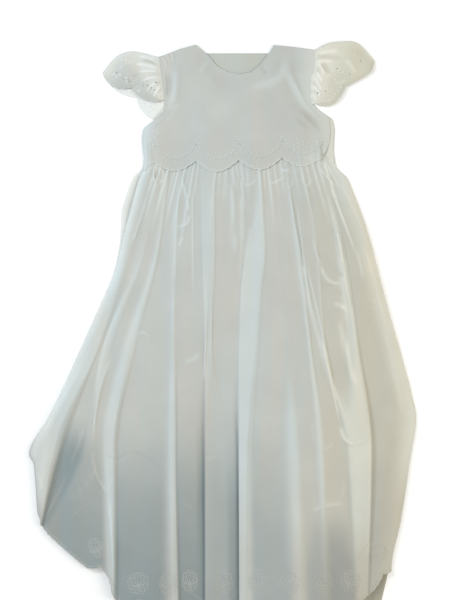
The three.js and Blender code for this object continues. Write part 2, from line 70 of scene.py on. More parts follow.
camera_data = bpy.data.cameras.new("overhead_camera")
camera_data.sensor_width = LONG_SIDE_SENSOR
seen_height = PICTURE_HEIGHT_PX * PIXEL * MM
camera_data.lens = LONG_SIDE_SENSOR * (CAMERA_HEIGHT - CLOTH_LEVEL * MM) / seen_height
camera = bpy.data.objects.new("overhead_camera", camera_data)
picture_x, picture_y = from_photo(PICTURE_WIDTH_PX / 2, PICTURE_HEIGHT_PX / 2)
camera.location = (
    (picture_x + CENTRE_FRONT_X) * MM,
    (picture_y + WAIST_Y) * MM,
    CAMERA_HEIGHT,
)
bpy.context.scene.collection.objects.link(camera)
bpy.context.scene.camera = camera
bpy.context.scene.view_settings.view_transform = "Standard"

# The surface: one wide, plain, pale sheet of card under the gown, and two soft lamps with an even sky.
# The key lamp stands at the left, so each fold is lit on its left slope.
FLOOR_SIDE = 8.0
CARD_COLOUR = (0.93, 0.93, 0.93, 1)
CARD_GLOW = 0.13
SKY_COLOUR = (0.99, 0.995, 1.0, 1)
SKY_STRENGTH = 0.62
floor_form = bmesh.new()
bmesh.ops.create_grid(floor_form, x_segments=1, y_segments=1, size=FLOOR_SIDE / 2)
floor_mesh = bpy.data.meshes.new("floor")
floor_form.to_mesh(floor_mesh)
floor_form.free()
floor = bpy.data.objects.new("floor", floor_mesh)
bpy.context.scene.collection.objects.link(floor)
floor_paint = bpy.data.materials.new("pale_card")
floor_paint.use_nodes = True
floor_shader = floor_paint.node_tree.nodes["Principled BSDF"]
floor_shader.inputs["Base Color"].default_value = CARD_COLOUR
floor_shader.inputs["Roughness"].default_value = 0.9
floor_shader.inputs["Emission Color"].default_value = (1, 1, 1, 1)
floor_shader.inputs["Emission Strength"].default_value = CARD_GLOW
floor_mesh.materials.append(floor_paint)

sky = bpy.data.worlds.new("soft_sky")
sky.use_nodes = True
sky.node_tree.nodes["Background"].inputs["Color"].default_value = SKY_COLOUR
sky.node_tree.nodes["Background"].inputs["Strength"].default_value = SKY_STRENGTH
bpy.context.scene.world = sky


def soft_lamp(name, place, aim, width, power, colour):
    """A square soft box that looks at a point of the cloth."""
    lamp_data = bpy.data.lights.new(name, "AREA")
    lamp_data.size = width
    lamp_data.energy = power
    lamp_data.color = colour
    lamp = bpy.data.objects.new(name, lamp_data)
    lamp.location = place
    lamp.rotation_mode = "QUATERNION"
    way = Vector(aim) - Vector(place)
    lamp.rotation_quaternion = way.to_track_quat("-Z", "Y")
    bpy.context.scene.collection.objects.link(lamp)


COOL_LIGHT = (0.86, 0.955, 1.0)
WARM_LIGHT = (1.0, 0.93, 0.72)
soft_lamp(
    "left_key", place=(-1.0, 0.52, 1.0), aim=(-0.05, 0.05, 0), width=0.5, power=9.2, colour=COOL_LIGHT
)
soft_lamp(
    "right_fill", place=(1.05, -0.22, 1.0), aim=(0.1, -0.05, 0), width=0.9, power=6.2, colour=WARM_LIGHT
)


# Skirt back: the rear half of the skirt, one gathered panel of plain fine cotton, sewn to the bodice back.
# It lies under the front, and shows at the left below the waist and under the raised hem at the right.
def table(columns, *rows):
    """Rows with named columns."""
    names = columns.split()
    return [dict(zip(names, row)) for row in rows]


def column(rows, name):
    """One named column of a table."""
    return np.array([row[name] for row in rows], dtype=float)


def smooth(share):
    """A soft step from 0 to 1."""
    share = np.clip(share, 0, 1)
    return share * share * (3 - 2 * share)


def swell(distance):
    """A round bump that is 1 at 0 and 0 from 1 on."""
    return np.where(np.abs(distance) < 1, (1 + np.cos(np.pi * distance)) / 2, 0)


def lerp(start, end, share):
    """The value at a share of the way from start to end."""
    return start + (end - start) * share


def gentle_curve(at, values, place):
    """A smooth curve without overshoot through values, a row per place in at, read at each place."""
    at = np.asarray(at, dtype=float)
    values = np.asarray(values, dtype=float)
    place = np.asarray(place, dtype=float).ravel()
    if values.ndim == 1:
        values = np.repeat(values[:, None], place.size, axis=1)
    rise = np.diff(values, axis=0) / np.diff(at)[:, None]
    slope = np.empty_like(values)
    slope[0], slope[-1] = rise[0], rise[-1]
    before, after = rise[:-1], rise[1:]
    same_way = before * after > 0
    total = np.where(same_way, before + after, 1)
    slope[1:-1] = np.where(same_way, 2 * before * after / total, 0)
    i = np.clip(np.searchsorted(at, place, side="right") - 1, 0, len(at) - 2)
    point = np.arange(place.size)
    run = at[i + 1] - at[i]
    t = np.clip((place - at[i]) / run, 0, 1)
    back = 1 - t
    return (
        values[i, point] * (1 + 2 * t) * back * back
        + slope[i, point] * run * t * back * back
        + values[i + 1, point] * (3 - 2 * t) * t * t
        - slope[i + 1, point] * run * back * t * t
    )


def side_curve(rows, name, y):
    """The x of an edge at each height y, from a table that runs downwards."""
    return gentle_curve(column(rows, "y")[::-1], column(rows, name)[::-1], y)


SCALLOP_STEPS = 30
SCALLOP_ROUNDNESS = 0.75
PETALS = 6
PETALS_SPAN = 50
PETAL_HEIGHT = 1.1


def scalloped_edge(cusps, petal_height=PETAL_HEIGHT, roundness=SCALLOP_ROUNDNESS):
    """Points of a scalloped edge with small petals. A cusp's bulge is the depth of the scallop before it."""
    points = [(cusps[0]["x"], cusps[0]["y"])]
    for start, end in zip(cusps, cusps[1:]):
        along = np.array([end["x"] - start["x"], end["y"] - start["y"]], dtype=float)
        length = np.hypot(*along)
        out = np.array([along[1], -along[0]]) / length
        petals = max(1, round(PETALS * length / PETALS_SPAN))
        for k in range(1, SCALLOP_STEPS + 1):
            t = k / SCALLOP_STEPS
            arch = max(0.0, math.sin(math.pi * t)) ** roundness
            bow = end["bulge"] * arch + abs(math.sin(math.pi * petals * t)) * petal_height
            x, y = start["x"] + along[0] * t + out[0] * bow, start["y"] + along[1] * t + out[1] * bow
            points.append((x, y))
    return np.array(points)


def edge_at(points, x):
    """The height of an edge, given as points from left to right, at each x."""
    return np.interp(x, np.maximum.accumulate(points[:, 0]), points[:, 1])


def finish_cloth(mesh, tone):
    """Rounds off the faces of a mesh and gives each point the tone that the cotton's colour follows."""
    shade = mesh.attributes.new("tone", "FLOAT", "POINT")
    shade.data.foreach_set("value", np.broadcast_to(tone, len(mesh.vertices)).astype(np.float32))
    mesh.polygons.foreach_set("use_smooth", np.ones(len(mesh.polygons), dtype=bool))


def sheet_mesh(name, columns, rows, place_points):
    """A sheet of cloth: a flat grid whose points are placed by their shares across and down."""
    form = bmesh.new()
    bmesh.ops.create_grid(form, x_segments=columns, y_segments=rows, size=0.5, calc_uvs=True)
    mesh = bpy.data.meshes.new(name)
    form.to_mesh(mesh)
    form.free()
    flat = np.empty(len(mesh.vertices) * 3)
    mesh.vertices.foreach_get("co", flat)
    flat = flat.reshape(-1, 3)
    x, y, z, tone = place_points(flat[:, 0] + 0.5, 0.5 - flat[:, 1])
    mesh.vertices.foreach_set("co", in_frame(x, y, z).ravel())
    finish_cloth(mesh, tone)
    mesh.update()
    return mesh


def cloth_piece(name, mesh, material, node, thickness, rim_only=False):
    """Makes a sheet into a thin wall of cloth that stands for its solid, or only turns its edge down."""
    piece = bpy.data.objects.new(name, mesh)
    bpy.context.scene.collection.objects.link(piece)
    mesh.materials.append(material)
    wall = piece.modifiers.new("cloth_thickness", "SOLIDIFY")
    wall.thickness = thickness * MM
    wall.offset = -1
    wall.use_even_offset = False
    wall.use_rim_only = rim_only
    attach(piece, "root")
    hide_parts(node)
    return piece


# The cloth's finish: a close plain weave of fine threads, with faint clouds and long streaks of tone,
# and the share of painted warm light, a faint ivory cast that grows towards the right side.
THREADS = 900.0
CLOUDS = 22.0
THREAD_WOBBLE = 1.2
STREAK_SCALE = (34, 3.2, 8)
# Painted warm light: where it starts, where it is full, and its tint
UNWARMED_UP_TO_X = 0.06
FULL_WARM_LIGHT_FROM_X = 0.2
PAINTED_WARM_LIGHT_TINT = (1.0, 0.955, 0.85)
WARM_STREAK = (1.015, 0.99, 0.965, 1)
COOL_STREAK = (0.965, 1.0, 1.03, 1)


def add_node(tree, kind, values=None, **settings):
    """A shader node with its settings and the values of its open sockets."""
    node = tree.nodes.new("ShaderNode" + kind)
    for setting, value in settings.items():
        setattr(node, setting, value)
    for socket, value in (values or {}).items():
        node.inputs[socket].default_value = value
    return node


weave = bpy.data.node_groups.new("fine_cotton_weave", "ShaderNodeTree")
for socket in ("Threads", "Clouds"):
    weave.interface.new_socket(socket, in_out="INPUT", socket_type="NodeSocketFloat")
for socket in ("Height", "Tone", "Cast", "Streaks"):
    weave.interface.new_socket(socket, in_out="OUTPUT", socket_type="NodeSocketFloat")
group_in = weave.nodes.new("NodeGroupInput")
group_out = weave.nodes.new("NodeGroupOutput")
place = add_node(weave, "TexCoord")
crossing = add_node(weave, "Math", operation="ADD")
for side, direction in enumerate("XY"):
    wobble = {"Distortion": THREAD_WOBBLE, "Detail": 1.0}
    thread = add_node(weave, "TexWave", wobble, bands_direction=direction)
    weave.links.new(place.outputs["Object"], thread.inputs["Vector"])
    weave.links.new(group_in.outputs["Threads"], thread.inputs["Scale"])
    weave.links.new(thread.outputs["Fac"], crossing.inputs[side])
clouds = add_node(weave, "TexNoise", {"Detail": 3.0})
weave.links.new(place.outputs["Object"], clouds.inputs["Vector"])
weave.links.new(group_in.outputs["Clouds"], clouds.inputs["Scale"])
tone = add_node(weave, "MapRange", {"From Min": 0.3, "From Max": 0.7, "To Min": 0.97, "To Max": 1.03})
weave.links.new(clouds.outputs["Fac"], tone.inputs["Value"])
drawn_out = add_node(weave, "Mapping", {"Scale": STREAK_SCALE})
weave.links.new(place.outputs["Object"], drawn_out.inputs["Vector"])
streak_noise = add_node(weave, "TexNoise", {"Scale": 1.0, "Detail": 2.0})
weave.links.new(drawn_out.outputs["Vector"], streak_noise.inputs["Vector"])
streaks = add_node(weave, "MapRange", {"From Min": 0.35, "From Max": 0.65})
weave.links.new(streak_noise.outputs["Fac"], streaks.inputs["Value"])
parts = add_node(weave, "SeparateXYZ")
weave.links.new(place.outputs["Object"], parts.inputs["Vector"])
painted_warmth_range = {"From Min": UNWARMED_UP_TO_X, "From Max": FULL_WARM_LIGHT_FROM_X}
painted_warmth = add_node(weave, "MapRange", painted_warmth_range, interpolation_type="SMOOTHSTEP")
weave.links.new(parts.outputs["X"], painted_warmth.inputs["Value"])
weave.links.new(crossing.outputs["Value"], group_out.inputs["Height"])
for output, node in (("Tone", tone), ("Cast", painted_warmth), ("Streaks", streaks)):
    weave.links.new(node.outputs["Result"], group_out.inputs[output])


# The tone picks the cotton's painted light and shade: a painted lit rim, a painted crest highlight, a flat
# stretch and painted shade on sunk single cloth
PAINTED_RIM_LIGHT_TONE = 0.0
PAINTED_HIGHLIGHT_TONE = 0.15
FLAT_TONE = 0.35
PAINTED_SHADE_TONE = 1.0


def cotton(name, unwarmed, warm_lit=None, sheen=0.25):
    """Fine cotton in four colours of painted light and shade on one white, a painted lit rim, a painted crest
    highlight, flat cloth and painted shade, picked by each point's tone, with a warmer set for the painted
    warm light.
    """
    warm_lit = warm_lit or [tuple(np.multiply(shade, PAINTED_WARM_LIGHT_TINT)) for shade in unwarmed]
    material = bpy.data.materials.new(name)
    material.use_nodes = True
    tree = material.node_tree
    links = tree.links
    shader = tree.nodes["Principled BSDF"]
    shader.inputs["Roughness"].default_value = 0.5
    shader.inputs["Specular IOR Level"].default_value = 0.3
    shader.inputs["Sheen Weight"].default_value = sheen
    shader.inputs["Sheen Roughness"].default_value = 0.45
    finish = tree.nodes.new("ShaderNodeGroup")
    finish.node_tree = weave
    finish.inputs["Threads"].default_value = THREADS
    finish.inputs["Clouds"].default_value = CLOUDS
    tone = add_node(tree, "Attribute", attribute_name="tone")
    # The painted warm light: a warmer copy of the four colours, mixed in towards the right
    warm_light_mix = add_node(tree, "Mix", data_type="RGBA")
    links.new(finish.outputs["Cast"], warm_light_mix.inputs["Factor"])
    for side, (rim, crest, flat, deep) in (("A", unwarmed), ("B", warm_lit)):
        colour = add_node(tree, "ValToRGB")
        stops = colour.color_ramp.elements
        stops[0].color = (*rim, 1)
        stops[1].color = (*deep, 1)
        for place, shade in ((PAINTED_HIGHLIGHT_TONE, crest), (FLAT_TONE, flat)):
            stops.new(place).color = (*shade, 1)
        links.new(tone.outputs["Fac"], colour.inputs["Fac"])
        links.new(colour.outputs["Color"], warm_light_mix.inputs[side])
    clouded = add_node(tree, "VectorMath", operation="SCALE")
    links.new(warm_light_mix.outputs["Result"], clouded.inputs[0])
    links.new(finish.outputs["Tone"], clouded.inputs["Scale"])
    streaked = add_node(tree, "Mix", {"A": WARM_STREAK, "B": COOL_STREAK}, data_type="RGBA")
    links.new(finish.outputs["Streaks"], streaked.inputs["Factor"])
    tinted = add_node(tree, "VectorMath", operation="MULTIPLY")
    links.new(clouded.outputs["Vector"], tinted.inputs[0])
    links.new(streaked.outputs["Result"], tinted.inputs[1])
    links.new(tinted.outputs["Vector"], shader.inputs["Base Color"])
    relief = add_node(tree, "Bump", {"Strength": 0.25, "Distance": 0.00005})
    links.new(finish.outputs["Height"], relief.inputs["Height"])
    links.new(relief.outputs["Normal"], shader.inputs["Normal"])
    return material


RAY_START = 0.2


def tree_of(mesh):
    """A search tree of a mesh, which finds the cloth at a point."""
    corners = [vertex.co for vertex in mesh.vertices]
    return BVHTree.FromPolygons(corners, [face.vertices for face in mesh.polygons])


def height_below(tree, x, y, lowest=False):
    """The height of the uppermost or the lowest cloth at a point of the tables, or 0 where there is none."""
    spot = in_frame(x, y, 0)
    way = 1 if lowest else -1
    hit = tree.ray_cast(Vector((spot[0], spot[1], -way * RAY_START)), Vector((0, 0, way)))[0]
    return hit.z / MM if hit else 0.0


CORD_SUNK = 0.25
FINE_CORD = 0.45


def sewing(name, paths, tree, material, slot, tone, lowest=False):
    """Embroidery: a cord of thread along each path of x, y and radius, sunk into the cloth below it."""
    line = bpy.data.curves.new(name, "CURVE")
    line.dimensions = "3D"
    line.bevel_depth = MM
    line.bevel_resolution = 1
    line.use_fill_caps = True
    for path in paths:
        heights = [height_below(tree, x, y, lowest) for x, y, _ in path]
        laid = [(x, y, z, radius) for (x, y, radius), z in zip(path, heights) if z > 0]
        if len(laid) < 2:
            continue
        spline = line.splines.new("POLY")
        spline.points.add(len(laid) - 1)
        for point, (x, y, z, radius) in zip(spline.points, laid):
            point.co = (*in_frame(x, y, z - CORD_SUNK * radius), 1)
            point.radius = radius
    holder = bpy.data.objects.new(name, line)
    mesh = bpy.data.meshes.new_from_object(holder)
    bpy.data.objects.remove(holder)
    bpy.data.curves.remove(line)
    mesh.name = name
    finish_cloth(mesh, tone)
    mesh.materials.clear()
    mesh.materials.append(material)
    piece = bpy.data.objects.new(name, mesh)
    bpy.context.scene.collection.objects.link(piece)
    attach(piece, "root")
    return piece


def dot(x, y, radius):
    """A small knot of thread."""
    return [(x - 0.4 * radius, y, 0.7 * radius), (x, y, radius), (x + 0.4 * radius, y, 0.7 * radius)]


LEAF_SHARES = (0, 0.25, 0.5, 0.75, 1)
LEAF_TIP = 0.35


def leaf(x, y, turn, length, radius):
    """A satin-stitched leaf that starts at a point and runs at an angle in degrees."""
    way = math.radians(turn)
    path = []
    for share in LEAF_SHARES:
        thick = radius * (LEAF_TIP + (1 - LEAF_TIP) * math.sin(math.pi * share))
        path.append((x + math.cos(way) * length * share, y + math.sin(way) * length * share, thick))
    return path


def ring(x, y, width, height, cord, parts=10):
    """A line of thread round a hole or a medallion."""
    turns = np.linspace(0, 2 * math.pi, parts + 1)
    return [(x + width / 2 * math.cos(t), y + height / 2 * math.sin(t), cord) for t in turns]


def bent_path(row, share):
    """The x and y, at shares of its length, of a bent way through a row's three pixels of the photograph."""
    (x1, y1), (x2, y2), (x3, y3) = (from_photo(row["x" + n], row["y" + n]) for n in "123")
    bend_x, bend_y = 2 * x2 - (x1 + x3) / 2, 2 * y2 - (y1 + y3) / 2
    return (
        (1 - share) ** 2 * x1 + 2 * share * (1 - share) * bend_x + share**2 * x3,
        (1 - share) ** 2 * y1 + 2 * share * (1 - share) * bend_y + share**2 * y3,
    )


def bent_line(row, cord, parts=14):
    """A thin line of thread through a row's three pixels of the photograph."""
    return [(x, y, cord) for x, y in zip(*bent_path(row, np.linspace(0, 1, parts)))]


def beside(points, distance, cord):
    """A cord along an edge, a little to the left of its way."""
    way = np.gradient(points, axis=0)
    way = way / np.hypot(way[:, 0], way[:, 1])[:, None]
    moved = points + distance * np.stack([-way[:, 1], way[:, 0]], axis=1)
    return [(x, y, cord) for x, y in moved]


SKIRT_EDGES = table(
    "y left right back_left back_right",
    (20, -123, 124, -124, 124),
    (0, -123, 127, -126, 127),
    (-15, -130, 141, -138, 141),
    (-38, -137, 151, -147, 151),
    (-60, -143, 159.5, -153, 159.5),
    (-95, -152, 171, -155, 171),
    (-130, -160, 180, -161, 180),
    (-190, -185, 196, -185, 196),
    (-250, -212, 213, -212, 213),
    (-300, -235, 226, -235, 226),
    (-328, -249, 231, -249, 230),
    (-376, -274, 224.5, -272, 224),
    (-388, -268, 222.5, -267, 222),
    (-420, -265, 218, -264, 217),
    (-451, -263, 213, -262, 212),
    (-463, -259, 211, -258, 209),
    (-526, -259, 199, -258, 195.5),
    (-563, -259, 199, -258, 186.5),
    (-586, -259, 199, -258, 181),
)
KNEE_Y = -376
HEM_DEPTH = 586.05
BACK_SEAM = 8
BACK_HEM = table(
    "x y bulge",
    (-258, -463, 0),
    (-203, -518, 0),
    (-181, -520, 3),
    (-166, -544, -3),
    (-120, -563, 12),
    (-72, -567, 12),
    (-24, -569, 12),
    (24, -570, 12),
    (72, -570, 12),
    (126, -569, 12),
    (181, -574, 12),
)
BACK_FOLDS = table(
    "waist hem height half_width",
    (-92, -196, 2.2, 9),
    (-66, -128, 2.6, 11),
    (-40, -84, 2.0, 8),
    (-12, -30, 2.6, 12),
    (17, 28, 2.2, 9),
    (42, 82, 2.6, 11),
    (66, 122, 2.0, 8),
    (92, 160, 2.4, 10),
)
BACK_COLUMNS, BACK_ROWS = 220, 200
SKIRT_THICKNESS = 0.7
BACK_LAYER = 1.0
BACK_KNEE_SHARE = 0.66
BACK_SIDE_SHARE = 0.083
BACK_RIM_SHARE = 0.06
BACK_RIM_LOWEST = -330
BACK_RIM_FADE = 60
PRESSED_SHARE = 0.25
PRESSED_RUN = 0.33
BACK_FOLD_NARROW = 0.6
BACK_FOLD_WIDE = 1.6
# Under the raised hem at the right, the back is in the shade from here on
SHADED_X = 150
SHADED_X_RUN = 20
SHADED_Y = -490
SHADED_Y_RUN = 30


def back_fold_height(x, y):
    """The hollows in the back panel, pressed nearly flat at the waist and wider towards the hem."""
    down = np.clip((BACK_SEAM - y) / (BACK_SEAM + HEM_DEPTH), 0, 1)
    rise = lerp(PRESSED_SHARE, 1, smooth(down / PRESSED_RUN))
    height = 0
    for fold in BACK_FOLDS:
        width = fold["half_width"] * lerp(BACK_FOLD_NARROW, BACK_FOLD_WIDE, down)
        middle = lerp(fold["waist"], fold["hem"], down)
        height = height + rise * fold["height"] * swell((x - middle) / width)
    return height


back_hem = scalloped_edge(BACK_HEM)


def skirt_back_points(across, down):
    """The back panel's points, and their tone, by their shares across and down."""
    hem_y = edge_at(back_hem, lerp(BACK_HEM[0]["x"], BACK_HEM[-1]["x"], across))
    to_knee = np.clip(down / BACK_KNEE_SHARE, 0, 1)
    to_hem = np.clip((down - BACK_KNEE_SHARE) / (1 - BACK_KNEE_SHARE), 0, 1)
    y = lerp(BACK_SEAM, KNEE_Y, to_knee) + (hem_y - KNEE_Y) * to_hem
    x = lerp(side_curve(SKIRT_EDGES, "back_left", y), side_curve(SKIRT_EDGES, "back_right", y), across)
    from_side = np.minimum(across, 1 - across)
    inside = smooth(from_side / BACK_SIDE_SHARE)
    # Painted light: a painted lit rim along the sides, and painted shade under the raised hem at the right
    rim = 1 - smooth(from_side / BACK_RIM_SHARE)
    tone = lerp(FLAT_TONE, PAINTED_RIM_LIGHT_TONE, rim * smooth((y - BACK_RIM_LOWEST) / BACK_RIM_FADE))
    shaded = smooth((x - SHADED_X) / SHADED_X_RUN) * smooth((SHADED_Y - y) / SHADED_Y_RUN)
    tone = lerp(tone, PAINTED_SHADE_TONE, shaded)
    return x, y, back_fold_height(x, y) * inside + BACK_LAYER, tone


# Lit and shaded copies of one white: painted lit rim, painted highlight, flat and painted shade
COTTON_BACK = cotton(
    "cotton_back", [(0.80, 0.80, 0.77), (0.62, 0.63, 0.60), (0.52, 0.54, 0.50), (0.40, 0.40, 0.36)]
)
skirt_back = cloth_piece(
    "skirt_back_cloth",
    sheet_mesh("skirt_back_cloth", BACK_COLUMNS, BACK_ROWS, skirt_back_points),
    COTTON_BACK,
    "skirt_back",
    SKIRT_THICKNESS,
)

# Skirt front: one gathered panel of the same cotton, with the long folds that fall from the waist and spread.
# Its side edges are sewn to the back's. Its colour holds painted shade, darker and cooler between the folds
# and down the lower skirt, painted highlights on the crests and a painted lit rim at the sides.
FOLDS = table(
    "name waist hip thigh knee hem z_waist z_hip z_thigh z_knee z_hem",
    ("side_flap", -116, -141, -186, -249, -258, 5.8, 8, 12, 16, 9),
    ("side_trough", -110, -134, -181, -222, -256, 4.6, 6.5, 9.5, 4.8, 5),
    ("edge_a", -105, -129, -178, -203, -253.5, 5.4, 8, 11.5, 7.8, 6.5),
    ("crest_a", -101, -124, -173, -197, -248, 6.2, 9.5, 13, 9, 7.5),
    ("dip_a", -96, -115, -161, -186, -187, 5.2, 8, 9.5, 9, 7),
    ("crest_b", -91, -106, -142, -165, -165, 6.4, 10.5, 13, 14.5, 13),
    ("dip_b", -84, -96, -117, -124, -135, 5, 7.5, 8.5, 8.5, 6.5),
    ("crest_d", -76, -85, -87, -88, -86, 6.4, 10, 11, 13, 13),
    ("edge_d", -71, -80, -82, -83, -79.5, 5.6, 8.5, 10, 11.5, 11.5),
    ("dip_d", -64, -68, -67, -66, -64, 5, 7.5, 8.5, 8.5, 6.4),
    ("slit", -51, -50, -48, -46, -45, 5.2, 8, 8.5, 4.6, 4.6),
    ("lip_e", -47, -46, -43, -43.5, -43.5, 6.2, 10.0, 11.5, 9.8, 9.4),
    ("panel_e", -33, -32, -36, -31, -30, 6.4, 10.0, 10, 9, 8.8),
    ("dip_e", -23, -25, -27, -13, -10, 5, 7.5, 8, 8, 7),
    ("foot_f", -1, 3, -6, -1, 0, 5.2, 7.5, 8.5, 6.5, 6),
    ("lip_f", 23, 11, 2.5, 0, 0.5, 5.8, 11.2, 12.5, 14, 14),
    ("crest_f", 27, 31.5, 19, 10, 8, 6.6, 11.5, 13.5, 15.5, 16),
    ("dip_f", 37, 41, 38, 38, 49, 5, 7.5, 8.5, 9, 8.5),
    ("crest_g", 42, 49, 64, 70, 79, 6.2, 8.5, 9.5, 12, 12),
    ("dip_g", 52, 60, 77, 87, 100, 5, 7.5, 8, 9.5, 9),
    ("crest_h", 62, 77, 93, 106, 113, 6.6, 11, 12, 11.5, 9),
    ("dip_h", 72, 88, 102, 126, 134, 5, 7.5, 8.5, 9, 7),
    ("crest_k", 83, 101, 112, 145, 153, 6.2, 10, 11, 12.5, 11),
    ("dip_k", 94, 114, 125, 152, 157, 5, 7.5, 8, 13, 12),
    ("crest_i", 105, 132, 152, 166, 162, 6.2, 11, 12.5, 14.5, 11),
    ("edge_i", 111, 137, 156, 171.5, 167, 5.6, 9.5, 11, 13.5, 10.5),
    ("dip_i", 116, 143, 163, 178, 174, 4.8, 7, 7.5, 7.5, 7.8),
    ("crest_j", 121, 160, 188, 205, 190, 5.2, 9, 10, 8.5, 6.5),
)
# Where a fold bends between two of those heights: the line, the height and its place there
BENDS = table(
    "line y x",
    ("foot_f", -62, 6),
    ("lip_f", -165, 4),
    ("lip_f", -62, 23.5),
    ("crest_f", -165, 24.5),
    ("dip_f", -165, 39),
)
FRONT_HEM = table(
    "x y bulge",
    (-259, -463, 0),
    (-240, -486, 1.5),
    (-203, -519, 0),
    (-181, -521, 4),
    (-166, -546, -3),
    (-129, -566, 14),
    (-92, -570, 14),
    (-44, -571, 14),
    (0, -572, 14),
    (43, -573, 14),
    (87, -573, 14),
    (131, -569, 15),
    (187, -530, 12),
    (199, -526, 1.5),
)
# Narrow gathers at the waist between the folds: x, half width, height and how far down they run
GATHERS = table(
    "x half_width height reach",
    (-107.0, 2.6, 0.77, 69),
    (-101.4, 2.8, 0.92, 80),
    (-91.0, 3.2, 1.06, 109),
    (-82.0, 2.2, 0.68, 52),
    (-77.5, 2.4, 1.06, 92),
    (-69.4, 2.6, 0.97, 115),
    (-63.5, 2.0, 0.63, 46),
    (-58.5, 2.3, 0.97, 150),
    (-52.5, 2.0, 0.63, 57),
    (-29.9, 2.3, 1.06, 190),
    (-24.0, 2.0, 0.63, 52),
    (-17.0, 3.0, 0.77, 69),
    (-7.8, 2.2, 1.06, 138),
    (-2.0, 2.0, 0.63, 46),
    (3.9, 2.3, 1.12, 155),
    (11.0, 2.6, 0.68, 57),
    (26.0, 2.8, 1.21, 103),
    (32.0, 2.0, 0.63, 40),
    (37.7, 2.2, 0.92, 86),
    (46.0, 2.6, 0.63, 52),
    (54.0, 2.2, 0.68, 46),
    (71.0, 2.0, 0.63, 57),
    (80.0, 2.2, 0.97, 103),
    (87.5, 2.0, 0.68, 52),
    (96.2, 2.3, 0.97, 92),
    (103.5, 2.2, 0.77, 69),
    (112.5, 2.6, 0.92, 103),
)
FRONT_COLUMNS, FRONT_ROWS = 306, 316
SKIRT_TOP = 18
SKIRT_TOP_RIGHT = 5
FRONT_KNEE_SHARE = 0.67
FRONT_SIDE_HEIGHT = 1.7
GATHER_FAN = 0.003
GATHER_WIDENING = 0.4
KNEE_TO_WAIST = (-370.0, -240.0, -110.0, 0.0)

front_hem = scalloped_edge(FRONT_HEM)


def side_line(side, cusp):
    """A side edge of the panel, as a line at one low height."""
    return {
        "x": lambda y: side_curve(SKIRT_EDGES, side, y),
        "z": lambda y: np.full(y.shape, FRONT_SIDE_HEIGHT),
        "hem": cusp["x"],
    }


def skirt_lines():
    """Each fold line, the two sides included, as curves of x and height down the skirt."""
    lines = [side_line("left", FRONT_HEM[0])]
    for fold in FOLDS:
        heights = (edge_at(front_hem, fold["hem"]), *KNEE_TO_WAIST)
        xs = [fold[part] for part in ("hem", "knee", "thigh", "hip", "waist")]
        zs = [fold["z_" + part] for part in ("hem", "knee", "thigh", "hip", "waist")]
        bends = [(bend["y"], bend["x"]) for bend in BENDS if bend["line"] == fold["name"]]
        way = sorted([*zip(heights, xs), *bends])
        lines.append(
            {
                "x": lambda y, way=way: gentle_curve(*zip(*way), y),
                "z": lambda y, at=heights, zs=zs: gentle_curve(at, zs, y),
                "hem": fold["hem"],
            }
        )
    return [*lines, side_line("right", FRONT_HEM[-1])]


SKIRT_LINES = skirt_lines()
LAST_LINE = len(SKIRT_LINES) - 1


def place_between_lines(across):
    """Spreads the sheet's columns over the cloth's own width, closer together on the slopes."""
    knee, _, _, waist = (
        np.array([line["x"](np.array([y]))[0] for line in SKIRT_LINES]) for y in KNEE_TO_WAIST
    )
    parts = np.linspace(0, LAST_LINE, LAST_LINE * PARTS_A_FOLD + 1)
    middle = (parts[1:] + parts[:-1]) / 2
    line = middle.astype(int)
    start, end = slope_shares(np.ones(1))
    share = middle - line
    start, end = start[line, 0], end[line, 0]
    steep = (share > start - STEEP_MARGIN) & (share < end + STEEP_MARGIN) & (end < WHOLE_WAY)
    between = np.maximum(np.diff(knee), WAIST_WEIGHT * np.diff(waist)) + SPARE_WIDTH
    widths = between[line] / PARTS_A_FOLD * np.where(steep, STEEP_WEIGHT, 1)
    reach = np.concatenate([[0], np.cumsum(widths)]) / widths.sum()
    return np.interp(across, reach, parts)


def gather_height(x, y):
    """The ridges of the gathers, which fan out and fade below the waist."""
    height = 0
    for gather in GATHERS:
        fan = 1 + GATHER_FAN * np.maximum(0, -y)
        fade = smooth((y + gather["reach"]) / gather["reach"])
        width = gather["half_width"] * (1 + GATHER_WIDENING * np.clip(-y / gather["reach"], 0, 1))
        height = height + gather["height"] * fade * swell((x / fan - gather["x"]) / width)
    return height


